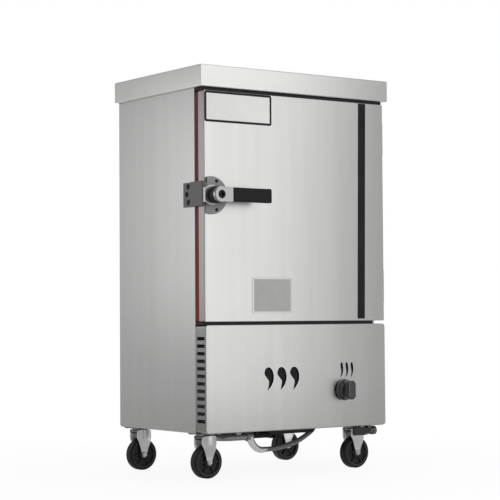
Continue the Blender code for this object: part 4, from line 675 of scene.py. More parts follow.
@dataclass(frozen=True)
class Finish:
    """Plain smooth finish with cloudy marks, on which the others are built."""

    name: str
    slot: str
    colour: Colour
    roughness: float
    metallic: float = 0.0
    contrast: float = 0.10
    sway: float = 0.06
    coat: float = 0.0
    marks: float = 8.0
    shine: float = 0.5

    def material(self, trees: dict[Effect, Tree]) -> Material:
        """Build the material.

        Args:
            trees: Groups of the shared effects.

        Returns:
            The material.
        """
        recipe = Recipe(self.name, trees)
        shader = recipe.shader
        shader.inputs["Metallic"].default_value = self.metallic
        shader.inputs["Coat Weight"].default_value = self.coat
        shader.inputs["Coat Roughness"].default_value = 0.08
        shader.inputs["Specular IOR Level"].default_value = self.shine
        self.wire(recipe)
        return recipe.material

    def wire(self, recipe: Recipe) -> None:
        """Link the colour and the roughness to the marks.

        Args:
            recipe: Material under construction.
        """
        marks = recipe.effect(Effect.SMUDGED, Scale=self.marks, Spread=1.6)[0]
        self.paint(recipe, marks)
        self.polish(recipe, marks)

    def paint(self, recipe: Recipe, factor: Socket) -> None:
        """Let the colour sway round its middle.

        Args:
            recipe: Material under construction.
            factor: Value from 0 to 1 that it follows.
        """
        shares = (1 - self.contrast, 1 + self.contrast)
        ends = [[min(1.0, level * share) for level in self.colour] + [1.0] for share in shares]
        recipe.colour(factor, *ends)

    def polish(self, recipe: Recipe, factor: Socket) -> None:
        """Let the roughness sway round its middle with a factor from 0 to 1."""
        swayed = recipe.between(factor, max(0.03, self.roughness - self.sway), self.roughness + self.sway)
        recipe.feed(recipe.shader.inputs["Roughness"], swayed)


class Grain(Enum):
    """Direction in which steel is brushed, as the stretch of its lines."""

    UPRIGHT = (1100.0, 1100.0, 7.0)
    ACROSS = (7.0, 1100.0, 1100.0)


@dataclass(frozen=True)
class BrushedSteel(Finish):
    """Steel sheet brushed one way, with faint bands along the grain."""

    grain: Grain = Grain.UPRIGHT
    depth: float = 0.00002
    band: float = 26.0
    soil: float = 0.0
    # Share of painted shade that darkens the folded returns.
    fold: float = 0.0

    def wire(self, recipe: Recipe) -> None:
        """Link the lines, bands, marks, the painted shade of the returns and the soil.

        Args:
            recipe: Material under construction.
        """
        stretch = self.grain.value
        wide = tuple(self.band if level > 100.0 else 0.7 for level in stretch)
        grain = recipe.effect(Effect.BRUSHED, Lines=stretch, Bands=wide)
        marks = recipe.effect(Effect.SMUDGED, Scale=self.marks, Spread=1.2)[0]
        line = recipe.math("MULTIPLY", grain["Line"], 0.35)
        self.paint(recipe, recipe.math("ADD", line, recipe.math("MULTIPLY", grain["Band"], 0.65)))
        self.polish(recipe, recipe.math("MULTIPLY", recipe.math("ADD", grain["Line"], marks), 0.5))
        recipe.bump(grain["Line"], self.depth)
        # The returns get painted shade; the soil darkens the steel near the floor.
        for share, effect, colour, limit in (
            (self.fold, Effect.FOLDED, (0.12, 0.12, 0.12), {"Side": 0.3438}),
            (self.soil, Effect.SOILED, (0.16, 0.14, 0.12), {"Height": 0.26}),
        ):
            if share > 0.0:
                recipe.stain_and_shade(recipe.math("MULTIPLY", recipe.effect(effect, **limit)[0], share), colour)


@dataclass(frozen=True)
class CastSkin(Finish):
    """Cast or moulded finish with a pebbled skin."""

    scale: float = 900.0
    depth: float = 0.00008

    def wire(self, recipe: Recipe) -> None:
        """Link the marks and the pebbled skin."""
        super().wire(recipe)
        recipe.bump(recipe.effect(Effect.CAST, Scale=self.scale)[0], self.depth)


@dataclass(frozen=True)
class Braid(Finish):
    """Woven wire sleeve, drawn on the piece's own map."""

    around: float = 12.0
    along: float = 220.0

    def wire(self, recipe: Recipe) -> None:
        """Link two sets of slanting wires that cross.

        Args:
            recipe: Material under construction.
        """
        place = recipe.add("ShaderNodeUVMap", uv_map="run").outputs[0]
        parts = recipe.add("ShaderNodeSeparateXYZ", {0: place}).outputs
        run = recipe.math("MULTIPLY", parts["X"], self.along)
        turn = recipe.math("MULTIPLY", parts["Y"], self.around)
        waves = []
        for operation in ("ADD", "SUBTRACT"):
            slant = recipe.math("MULTIPLY", recipe.math(operation, run, turn), FULL)
            waves.append(recipe.math("ABSOLUTE", recipe.math("SINE", slant)))
        weave = recipe.math("MAXIMUM", *waves)
        self.paint(recipe, weave)
        self.polish(recipe, weave)
        recipe.bump(weave, 0.0006)


STEEL_COLOUR = (0.62, 0.62, 0.61)
CAP_STEEL = BrushedSteel(
    "cap_steel", "outer_steel", (0.68, 0.68, 0.67), 0.34, 1.0, grain=Grain.ACROSS, contrast=0.07
)
# fold paints shade on the returns of the door and the lower panel.
DOOR_STEEL = BrushedSteel("door_steel", "outer_steel", STEEL_COLOUR, 0.33, 1.0, contrast=0.10, fold=0.6)
PANEL_STEEL = BrushedSteel(
    "panel_steel", "outer_steel", (0.60, 0.60, 0.59), 0.34, 1.0, contrast=0.10, soil=0.25, fold=0.6
)
SIDE_STEEL = BrushedSteel(
    "side_steel", "outer_steel", (0.58, 0.58, 0.575), 0.36, 1.0, contrast=0.08, soil=0.4
)
FRAME_STEEL = BrushedSteel("frame_steel", "outer_steel", (0.48, 0.48, 0.48), 0.40, 1.0, contrast=0.14)
BASE_STEEL = BrushedSteel(
    "base_steel", "outer_steel", (0.40, 0.40, 0.40), 0.45, 1.0, grain=Grain.ACROSS, contrast=0.2, soil=0.9
)
INNER_STEEL = BrushedSteel(
    "inner_steel", "inner_steel", (0.66, 0.66, 0.66), 0.28, 1.0, grain=Grain.ACROSS, contrast=0.10
)
TRAY_STEEL = Finish("tray_steel", "inner_steel", (0.70, 0.70, 0.70), 0.22, 1.0, contrast=0.08, marks=14.0)
CHROME = Finish(
    "bright_chrome", "chrome", (0.78, 0.78, 0.78), 0.13, 1.0, contrast=0.06, sway=0.05, marks=30.0
)
LEVER_CHROME = Finish("lever_chrome", "chrome", (0.38, 0.38, 0.38), 0.28, 1.0, contrast=0.06, marks=12.0)
# Brighter copy of the chrome, which paints a stronger reflection on the elbow.
ELBOW_CHROME_SHEEN = Finish("elbow_chrome", "chrome", (0.95, 0.95, 0.95), 0.17, 1.0, contrast=0.04, marks=30.0)
FORK_ZINC = CastSkin("fork_zinc", "chrome", (0.80, 0.80, 0.80), 0.34, 1.0, scale=500.0, depth=0.00003)
RACE_ZINC = CastSkin("race_zinc", "chrome", (0.22, 0.22, 0.22), 0.36, 1.0, scale=500.0, depth=0.00003)
PLATE_ZINC = CastSkin("plate_zinc", "outer_steel", (0.36, 0.36, 0.37), 0.40, 1.0, scale=500.0, depth=0.00004)
CAST_GREY = CastSkin("cast_grey", "cast_grey", (0.26, 0.26, 0.265), 0.45, 0.6, contrast=0.2, scale=450.0)
STRIKE_GREY = CastSkin("strike_grey", "cast_grey", (0.13, 0.13, 0.135), 0.45, 0.7, contrast=0.2, scale=450.0)
SCREW_STEEL = Finish("screw_steel", "cast_grey", (0.03, 0.03, 0.03), 0.38, 0.9, marks=200.0)
BRIGHT_SCREW = Finish("bright_screw", "outer_steel", (0.55, 0.55, 0.55), 0.30, 1.0, marks=200.0)
IRON = CastSkin("burner_iron", "iron", (0.035, 0.033, 0.032), 0.62, 0.5, scale=600.0, depth=0.00015)
NICKEL = Finish("valve_nickel", "brass", (0.20, 0.19, 0.17), 0.32, 1.0, marks=60.0)
BRASS = Finish("valve_brass", "brass", (0.60, 0.46, 0.21), 0.34, 1.0, marks=60.0)
GLOSS_BLACK = CastSkin(
    "gloss_black", "black_plastic", (0.012, 0.012, 0.013), 0.22, coat=0.35, scale=1200.0, depth=0.00001
)
KNOB_BLACK = CastSkin(
    "knob_black", "black_plastic", (0.035, 0.035, 0.037), 0.26, coat=0.6, scale=1200.0, depth=0.00001
)
GRIP_BLACK = CastSkin(
    "grip_black", "black_plastic", (0.007, 0.007, 0.007), 0.42, shine=0.18, scale=900.0, depth=0.00004
)
BOLT_BLACK = CastSkin(
    "bolt_black", "black_plastic", (0.007, 0.007, 0.008), 0.45, shine=0.2, scale=900.0, depth=0.00003
)
TREAD_RUBBER = CastSkin("tread_rubber", "black_rubber", (0.009, 0.009, 0.010), 0.55, shine=0.35, scale=700.0)
CORE_PLASTIC = CastSkin("core_plastic", "black_rubber", (0.011, 0.011, 0.012), 0.40, shine=0.35, scale=700.0)
# Lighter plastic of the rim bands, a painted highlight on the edge between tread and core.
RIM_HIGHLIGHT_PLASTIC = CastSkin("rim_plastic", "black_rubber", (0.030, 0.030, 0.032), 0.42, shine=0.4, scale=700.0)
SEAL_RUBBER = CastSkin(
    "seal_rubber", "red_rubber", (0.20, 0.014, 0.013), 0.55, shine=0.3, contrast=0.25, scale=400.0
)
WOOL = CastSkin(
    "mineral_wool", "mineral_wool", (0.62, 0.52, 0.26), 0.95, contrast=0.3, scale=90.0, depth=0.002
)
STRIPE_BLACK = Finish(
    "stripe_black", "black_plastic", (0.010, 0.010, 0.010), 0.42, contrast=0.6, marks=22.0, shine=0.2
)
PLATE_WHITE = Finish("plate_white", "outer_steel", (0.92, 0.92, 0.90), 0.38, contrast=0.04, marks=20.0)
PLATE_GREY = Finish("plate_grey", "outer_steel", (0.46, 0.46, 0.45), 0.42, contrast=0.10, marks=30.0)
BRAIDED_WIRE = Braid("braided_wire", "chrome", (0.22, 0.22, 0.22), 0.36, 1.0, contrast=0.5)


class Pattern(Enum):
    """Ways of repeating a shape, each a geometry tree."""

    LINE = "Line of copies"
    RING = "Ring of copies"
    SCATTER = "Parts on points"
    BEADS = "Beads on a path"


class Patterns:
    """Geometry trees that repeat a shape or follow a path, each built once."""

    def __init__(self) -> None:
        """Build the trees."""
        self.trees: dict[Pattern, Tree] = {}
        self.line()
        self.ring()
        self.scatter()
        self.beads()

    def begun(self, pattern: Pattern, **inputs: object) -> tuple[Nodes, object]:
        """Start a tree that takes and gives geometry.

        Args:
            pattern: Pattern that the tree makes.
            inputs: Default of each input by name, or Object for one that takes an object.

        Returns:
            The tree and its inputs.
        """
        shape = {"Geometry": "Geometry"}
        nodes = new_tree("GeometryNodeTree", pattern.value, shape | inputs | {"Material": "Material"}, shape)
        self.trees[pattern] = nodes.tree
        return nodes, nodes.add("NodeGroupInput").outputs

    @staticmethod
    def close(nodes: Nodes, given: object, **links: Socket) -> None:
        """End a tree in copies that are made real and given their material.

        Args:
            nodes: The tree.
            given: Its inputs.
            links: What feeds the copies, by input name.
        """
        copies = nodes.add("GeometryNodeInstanceOnPoints", links).outputs[0]
        real = nodes.add("GeometryNodeRealizeInstances", {0: copies}).outputs[0]
        dressed = nodes.add("GeometryNodeSetMaterial", {"Geometry": real, "Material": given["Material"]})
        nodes.add("NodeGroupOutput", {0: dressed.outputs[0]})

    @staticmethod
    def turn(nodes: Nodes, given: object, angle: Socket) -> Socket:
        """Rotation by an angle about the axis that the tree is given."""
        values = {"Axis": given["Axis"], "Angle": angle}
        return nodes.add("FunctionNodeAxisAngleToRotation", values).outputs[0]

    def line(self) -> None:
        """Copies of a shape at equal steps along a line."""
        nodes, given = self.begun(Pattern.LINE, Count=2, Step=(0.0, 0.0, 0.0))
        points = nodes.add("GeometryNodeMeshLine", {"Count": given["Count"], "Offset": given["Step"]})
        self.close(nodes, given, Points=points.outputs[0], Instance=given["Geometry"])

    def ring(self) -> None:
        """Copies of a shape turned in equal steps about an axis through the origin."""
        nodes, given = self.begun(Pattern.RING, Count=2, Axis=(0.0, 0.0, 1.0))
        points = nodes.add("GeometryNodePoints", {"Count": given["Count"]})
        index = nodes.add("GeometryNodeInputIndex").outputs[0]
        angle = nodes.math("MULTIPLY", index, nodes.math("DIVIDE", FULL, given["Count"]))
        turn = self.turn(nodes, given, angle)
        self.close(nodes, given, Points=points.outputs[0], Instance=given["Geometry"], Rotation=turn)

    def scatter(self) -> None:
        """Copies of a part on given points, each turned by chance about an axis."""
        nodes, given = self.begun(Pattern.SCATTER, Part="Object", Axis=(0.0, 1.0, 0.0), Seed=7)
        part = nodes.add("GeometryNodeObjectInfo", {"Object": given["Part"]}).outputs["Geometry"]
        chance = nodes.add("FunctionNodeRandomValue", {2: 0.0, 3: FULL, "Seed": given["Seed"]})
        turn = self.turn(nodes, given, chance.outputs[1])
        self.close(nodes, given, Points=given["Geometry"], Instance=part, Rotation=turn)

    def beads(self) -> None:
        """Row of round beads threaded on a path."""
        nodes, given = self.begun(Pattern.BEADS, Bead="Object", Pitch=0.01)
        curve = nodes.add("GeometryNodeMeshToCurve", {0: given["Geometry"]}).outputs[0]
        values = {"Curve": curve, "Length": given["Pitch"]}
        points = nodes.add("GeometryNodeCurveToPoints", values, mode="LENGTH").outputs
        bead = nodes.add("GeometryNodeObjectInfo", {"Object": given["Bead"]}).outputs["Geometry"]
        self.close(nodes, given, Points=points[0], Instance=bead, Rotation=points["Rotation"])


class Bench:
    """Workbench that holds the frame's nodes, the patterns and the materials made so far."""

    def __init__(self, nodes: dict[str, Item]) -> None:
        """Prepare effects and patterns.

        Args:
            nodes: The frame's nodes by name.
        """
        self.nodes = nodes
        self.effects = Effects()
        self.patterns = Patterns()
        self.materials: dict[str, Material] = {}

    def material(self, finish: Finish) -> Material:
        """Material of a finish, built on its first use.

        Args:
            finish: The finish.

        Returns:
            The material.
        """
        if finish.name not in self.materials:
            self.materials[finish.name] = finish.material(self.effects.trees)
        return self.materials[finish.name]


@dataclass
class SubAssembly:
    """Pieces that belong together, made on the same bench."""

    bench: Bench

    def lay(
        self, name: str, mesh: Mesh, finish: Finish, nodes: tuple[str, ...] = (),
        bevel: float = 0.0, smooth: float = 32.0, body: str = "cabinet",
    ) -> None:
        """Turn a mesh into a finished piece that rides on a body.

        Args:
            name: Name of the piece.
            mesh: Its mesh, with its place in it.
            finish: Its finish.
            nodes: Nodes that it stands for.
            bevel: Width of the rounding on its sharp edges.
            smooth: Angle in degrees up to which faces shade as one.
            body: Body that it rides on.
        """
        item = scene_object(mesh, name)
        if bevel > 0.0:
            step = item.modifiers.new("edges", "BEVEL")
            step.width = bevel
            step.segments = 2
            step.limit_method = "ANGLE"
            step.angle_limit = radians(smooth)
            mesh = applied(item)
            item = scene_object(mesh, name)
        mesh.materials.clear()
        mesh.materials.append(self.bench.material(finish))
        mesh.shade_smooth()
        mesh.set_sharp_from_angle(angle=radians(smooth))
        weigh = item.modifiers.new("normals", "WEIGHTED_NORMAL")
        weigh.keep_sharp = True
        if nodes:
            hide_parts(*nodes)
        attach(item, body)
        LOG.info("piece %s on %s, %d faces", name, body, len(mesh.polygons))

    def copy(self, node: str) -> Mesh:
        """Merged copy of a node's mesh, without the lines between flat triangles.

        Args:
            node: Name of the node.

        Returns:
            The copy.
        """
        bm = bmesh.new()
        bm.from_mesh(self.bench.nodes[node].data)
        bmesh.ops.remove_doubles(bm, verts=bm.verts, dist=0.00001)
        bmesh.ops.dissolve_limit(bm, angle_limit=radians(0.5), verts=bm.verts, edges=bm.edges)
        return released(bm)

    def soften(
        self, node: str, finish: Finish, bevel: float = 0.0006, smooth: float = 32.0, body: str = "cabinet"
    ) -> None:
        """Replace a node by its own shape with rounded edges."""
        self.lay(f"fine_{node}", self.copy(node), finish, (node,), bevel, smooth, body)

    def dress(self, node: str, finish: Finish) -> None:
        """Give a node that stays its finish.

        Args:
            node: Name of the node.
            finish: Its finish.
        """
        for slot in self.bench.nodes[node].material_slots:
            slot.material = self.bench.material(finish)
        LOG.info("node %s dressed", node)

    def repeated(self, pattern: Pattern, mesh: Mesh, finish: Finish, **values: object) -> Mesh:
        """Apply a pattern to a mesh.

        Args:
            pattern: Pattern to apply.
            mesh: Mesh that goes in.
            finish: Finish of what comes out.
            values: Inputs of the pattern by name.

        Returns:
            The plain mesh that comes out.
        """
        item = scene_object(mesh)
        step = item.modifiers.new("pattern", "NODES")
        step.node_group = self.bench.patterns.trees[pattern]
        values["Material"] = self.bench.material(finish)
        for socket in step.node_group.interface.items_tree:
            if socket.in_out == "INPUT" and socket.name in values:
                step[socket.identifier] = values[socket.name]
        item.update_tag()
        return applied(item)

    def row(self, shape: Mesh, finish: Finish, count: int, step: Place) -> Mesh:
        """Row of a shape's copies, a step apart."""
        return self.repeated(Pattern.LINE, shape, finish, Count=count, Step=step)

    def screws(
        self, name: str, places: list[Place], head: Mesh, axis: Axis, finish: Finish, body: str = "cabinet"
    ) -> None:
        """Set screws on points, each turned by chance.

        Args:
            name: Name of the piece.
            places: Points where the screws sit.
            head: Mesh of one screw about the origin.
            axis: Direction of the screws.
            finish: Their finish.
            body: Body that they ride on.
        """
        points = bpy.data.meshes.new("points")
        points.from_pydata(places, [], [])
        part = scene_object(head)
        values = {"Part": part, "Axis": axis.value, "Seed": len(places)}
        mesh = self.repeated(Pattern.SCATTER, points, finish, **values)
        bpy.data.objects.remove(part)
        self.lay(name, mesh, finish, body=body)


def pan_head(axis: Axis, way: float, radius: float, height: float) -> Mesh:
    """Domed screw head with a cross recess, on the origin.

    Args:
        axis: Direction of the screw.
        way: Side of the origin that the head stands on.
        radius: Radius of the head.
        height: Height of the head.

    Returns:
        The mesh.
    """
    dome = turned(axis, (0, 0), [
        (radius, 0), (radius, way * height * 0.3), (radius * 0.85, way * height * 0.75),
        (radius * 0.5, way * height * 0.97), (radius * 0.1, way * height),
    ], 20)
    long, slim = radius * 0.5, radius * 0.11
    cross = [
        (long, slim), (slim, slim), (slim, long), (-slim, long), (-slim, slim), (-long, slim),
        (-long, -slim), (-slim, -slim), (-slim, -long), (slim, -long), (slim, -slim), (long, -slim),
    ]
    return cut(dome, prism(axis, cross, way * height * 0.45, way * height * 2))


def hex_head(axis: Axis, way: float, radius: float, height: float) -> Mesh:
    """Hexagon bolt head on a washer, on the origin.

    Args:
        axis: Direction of the bolt.
        way: Side of the origin that the head stands on.
        radius: Radius over the head's corners.
        height: Height of the head.

    Returns:
        The mesh.
    """
    washer = turned(axis, (0, 0), [(radius * 1.35, 0), (radius * 1.35, way * height * 0.2)], 24)
    head = prism(axis, circle((0, 0), radius, 6), way * height * 0.15, way * height, height * 0.1)
    return joined(washer, head)


@dataclass
class TopCover(SubAssembly):
    """Folded cap over the body, with soft edges and a lip under it."""

    corner: float = 0.0008
    edge: float = 0.004
    hem: float = 0.004
    rear_round: float = 4.0
    lip_gap: float = 0.0005
    side: float = 0.345
    front: float = -0.1915
    back: float = 0.248

    def build(self) -> None:
        """Lay the cap."""
        low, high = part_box("top_cover")
        lip = rounded((-self.side, self.front), (self.side, self.back), 0.0, -self.lip_gap)
        steps = [(inset, high.z - depth) for inset, depth in fillet_steps(self.edge)]
        steps += [(inset, low.z + depth) for inset, depth in reversed(fillet_steps(self.hem, 3))]
        count = len(steps)
        steps += [(SHEET, low.z + SHEET), (SHEET, high.z - self.edge), (self.edge, high.z - SHEET)]
        sections = []
        for inset, height in steps:
            rear = high.y - inset * (self.rear_round - 1)
            sections.append((rounded(low[:2], (high.x, rear), self.corner, inset), height))
        sections[count:count] = [(lip, low.z), (lip, low.z + SHEET)]
        self.lay("cap", loft(Axis.Z, sections), CAP_STEEL, ("top_cover",))


@dataclass
class Body(SubAssembly):
    """Side, rear and front sheets, the base ring under them and the dark strips above and below the door that
    paint the shade in the gaps.
    """

    louvre_rows: int = 6
    louvre_pitch: float = 0.024
    louvre_first: float = 0.1978
    louvre_near: float = 0.140
    louvre_far: float = 0.285
    louvre_height: float = 0.008
    hood_depth: float = 0.006
    screw: Point = (0.0042, 0.0022)
    screw_margin: float = 0.010
    screw_first: float = 0.03
    sheet_screws: tuple[int, float] = (6, 0.2)
    flue_screws: tuple[int, float] = (5, 0.195)
    corner: float = 0.009
    front_corner: float = 0.010
    ring_set: float = 0.0015
    gap_shade_end: float = 0.302
    panel_rise: float = 0.003
    gap_shade_set: float = 0.007

    def build(self) -> None:
        """Lay the sheets, the dark strips that paint the gap shade, the louvre hoods and the rear screws."""
        for node, edge in (("left_side_panel", 0.0005), ("right_side_panel", 0.0005), ("back_panel", 0.0003)):
            sheet = cut(self.copy(node), *self.corner_cutters())
            self.lay(f"fine_{node}", sheet, SIDE_STEEL, (node,), edge)
        self.seals()
        self.soften("front_frame", FRAME_STEEL, 0.0003)
        base = cut(self.copy("base_frame"), *self.front_corner_cutters())
        self.lay("fine_base_frame", base, BASE_STEEL, ("base_frame",), 0.0008)
        self.hoods()
        self.rear_screws()

    @staticmethod
    def corner_outline(middle: Point, radius: float) -> Outline:
        """Outline of what lies past a lower corner's round, from the middle and radius of the round."""
        side, bottom = middle[0] + radius + OVERRUN, middle[1] - radius - OVERRUN
        return arc(middle, radius, -90, 0, 8) + [(side, middle[1]), (side, bottom), (middle[0], bottom)]

    def corner_cutters(self) -> list[Mesh]:
        """Cutters that round the lower rear corner.

        Returns:
            One cutter for each side.
        """
        low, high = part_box("back_panel")
        outline = self.corner_outline((high.y - self.corner, low.z + self.corner), self.corner)
        near, far = -low.x - OVERRUN, -low.x + OVERRUN
        return [prism(Axis.X, outline, side * near, side * far) for side in (-1, 1)]

    def front_corner_cutters(self) -> list[Mesh]:
        """Cutters that keep the ring behind the round lower corners of the front panel.

        Returns:
            One cutter for each side.
        """
        low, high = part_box("lower_front_panel")
        middle = (high.x - self.front_corner, low.z + self.front_corner)
        outline = self.corner_outline(middle, self.front_corner - self.ring_set)
        return [
            prism(Axis.Y, [(side * x, z) for x, z in outline], low.y, high.y) for side in (-1, 1)
        ]

    def seals(self) -> None:
        """Dark strips in the gaps between cap, door and lower panel, which paint the shade in the gaps."""
        door_low, door_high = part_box("door_shell")
        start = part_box("front_frame")[0].y - GAP
        front = door_low.y + self.gap_shade_set
        strips = []
        for bottom, top, end in (
            (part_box("lower_front_panel")[1].z + self.panel_rise + GAP, door_low.z - GAP * 2, self.gap_shade_end),
            (door_high.z + GAP * 2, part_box("top_cover")[0].z - GAP, door_high.x),
        ):
            strips.append(block((door_low.x, front, bottom), (end, start, top), 0.001))
        # Painted shade: dark strips where the gaps lie in shade.
        self.lay("gap_seals", gathered(strips), TREAD_RUBBER)

    def hoods(self) -> None:
        """Pressed hoods over the vent slots."""
        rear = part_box("back_panel")[1].y
        length = self.louvre_far - self.louvre_near
        steps = 8
        for name, middle in (("left", -1), ("right", 1)):
            centre = middle * (self.louvre_near + self.louvre_far) / 2
            sections = []
            for i in range(steps + 1):
                share = i / steps
                swell = sin(pi * min(max(share, 0.03), 0.97)) ** 0.3
                across = centre + (share - 0.5) * length
                height = self.louvre_height * swell
                bottom = self.louvre_first
                outline = arc((rear, bottom), height, 0, 90, 6) + arc((rear, bottom), height * 0.82, 90, 0, 6)
                shallow = [
                    (rear + (y - rear) * self.hood_depth / self.louvre_height, z) for y, z in outline
                ]
                sections.append((shallow, across))
            hood = loft(Axis.X, sections)
            hoods = self.row(hood, SIDE_STEEL, self.louvre_rows, (0.0, 0.0, self.louvre_pitch))
            self.lay(f"{name}_louvre_hoods", hoods, SIDE_STEEL)

    def rear_screws(self) -> None:
        """Screws down both edges of the rear sheet and of the flue's flanges."""
        places = []
        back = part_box("back_panel")
        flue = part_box("flue_outlet")
        for (low, high), face, (count, pitch) in (
            (back, back[1].y, self.sheet_screws), (flue, flue[0].y + SHEET, self.flue_screws)
        ):
            for side in (low.x + self.screw_margin, high.x - self.screw_margin):
                places += [(side, face, low.z + self.screw_first + i * pitch) for i in range(count)]
        head = pan_head(Axis.Y, 1.0, *self.screw)
        self.screws("rear_screws", places, head, Axis.Y, BRIGHT_SCREW)


@dataclass
class Chamber(SubAssembly):
    """Liner, racks, trays, tank, steam plate and insulation."""

    trays: int = 8
    tray_corner: float = 0.030
    tray_rim: float = 0.015
    tray_taper: float = 0.003
    tray_round: float = 0.006
    tray_sheet: float = 0.001
    bead: float = 0.0009

    def build(self) -> None:
        """Lay every piece inside the body."""
        self.soften("chamber_liner", INNER_STEEL, 0.0004)
        for side in ("left", "right"):
            self.soften(f"rail_rack_{side}", INNER_STEEL, 0.0003)
        self.soften("water_tank", INNER_STEEL, 0.0)
        self.soften("steam_plate", INNER_STEEL, 0.0004)
        self.dress("insulation_jacket", WOOL)
        for i in range(self.trays):
            self.tray(f"tray_{i + 1}")

    def tray(self, node: str) -> None:
        """One drawn tray with a rolled bead round its rim.

        Args:
            node: Tray that it stands for.
        """
        low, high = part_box(node)
        wall = self.tray_rim + self.tray_taper
        inside = self.tray_sheet
        foot = fillet_steps(self.tray_round, 4)
        steps = [(wall + inset, low.z + depth) for inset, depth in foot]
        steps += [
            (self.tray_rim, high.z - inside),
            (self.bead, high.z - inside - self.bead * 0.3),
            (0.0, high.z - inside / 2),
            (self.bead, high.z),
            (self.tray_rim + inside / 2, high.z - inside * 0.1),
            (self.tray_rim + inside, high.z - inside * 1.5),
        ]
        steps += [(wall + inset + inside, low.z + depth + inside) for inset, depth in reversed(foot)]
        mesh = stepped(Axis.Z, low[:2], high[:2], self.tray_corner, steps, 8)
        self.lay(f"fine_{node}", mesh, TRAY_STEEL, (node,))


@dataclass
class Door(SubAssembly):
    """Overlay door: outer shell, inner panel, gasket, stripe and bare plates."""

    corner: float = 0.004
    fillet: float = 0.002
    flange: float = 0.015
    stripe: Point = (0.2450, 0.2745)
    stripe_lean: float = 0.0095
    stripe_rise: float = 0.0065
    foil: float = 0.0003
    plate_sheet: float = 0.0006
    border: float = 0.0066
    rim_step: float = 0.0042
    gasket_corner: float = 0.003
    gasket_width: float = 0.014
    gasket_wrap: float = 0.0056
    gasket_lip: float = 0.0006
    gasket_swell: float = 0.0015
    gasket_lips: tuple[Point, ...] = (
        (0.0, 0.3), (0.12, 0.0), (0.36, 0.0), (0.5, 1.0), (0.64, 0.0), (0.88, 0.0), (1.0, 0.3)
    )
    upper_low: Point = (-0.3432, 1.0690)
    upper_high: Point = (-0.0970, 1.1618)
    lower_low: Point = (-0.1730, 0.4945)
    lower_high: Point = (-0.0220, 0.6060)

    def build(self) -> None:
        """Lay every piece of the door."""
        low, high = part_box("door_shell")
        rim = high.y - self.rim_step
        shell = Pan((low.x, low.z), (high.x, high.z), self.corner, low.y, rim, self.fillet, self.flange)
        self.lay("door_skin", shell.mesh(), DOOR_STEEL, ("door_shell",), body="door")
        self.soften("door_inner_panel", INNER_STEEL, 0.0004, body="door")
        self.gasket()
        self.foil_stripe(low, high)
        self.plate("upper_plate", self.upper_low, self.upper_high, low.y, PLATE_WHITE, STRIPE_BLACK)
        self.plate("lower_plate", self.lower_low, self.lower_high, low.y, PLATE_GREY, BRIGHT_SCREW)

    def gasket(self) -> None:
        """Rubber ring between door and body, with two lips round its outside."""
        low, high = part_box("door_gasket")
        front = low.y - self.gasket_wrap
        depth = high.y - front
        steps = []
        for share, inset in self.gasket_lips:
            steps.append((inset * self.gasket_lip - self.gasket_swell, front + share * depth))
        steps += [(self.gasket_width, high.y), (self.gasket_width, front)]
        ring = stepped(Axis.Y, (low.x, low.z), (high.x, high.z), self.gasket_corner, steps, closed=True)
        self.lay("door_seal", ring, SEAL_RUBBER, ("door_gasket",), smooth=50.0, body="door")

    def foil_stripe(self, low: Vector, high: Vector) -> None:
        """Plain dark foil from the top of the door to its bottom, laid on with a slight lean.

        Args:
            low: Lowest corner of the door's shell.
            high: Highest corner of it.
        """
        left, right = self.stripe
        bottom = low.z + self.stripe_rise
        top = high.z - self.fillet
        outline = [
            (left - self.stripe_lean, bottom), (right - self.stripe_lean, bottom), (right, top), (left, top)
        ]
        mesh = prism(Axis.Y, outline, low.y, low.y - self.foil)
        self.lay("door_stripe", mesh, STRIPE_BLACK, body="door")

    def plate(
        self, name: str, low: Point, high: Point, face: float, finish: Finish, edging: Finish
    ) -> None:
        """Bare plate with a border round it.

        Args:
            name: Name of the plate.
            low: Lowest corner in x and z.
            high: Highest corner in x and z.
            face: Where the door's front face is.
            finish: Finish of the plate.
            edging: Finish of its border.
        """
        front = face - self.plate_sheet
        sheet = prism(Axis.Y, rounded(low, high, self.border, steps=5), face, front)
        self.lay(name, sheet, finish, body="door")
        out, top = -self.foil / 2, front - self.foil
        steps = [(out, face), (out, top), (self.border, top), (self.border, face)]
        frame = stepped(Axis.Y, low, high, self.border, steps, 5, True)
        self.lay(f"{name}_border", frame, edging, body="door")


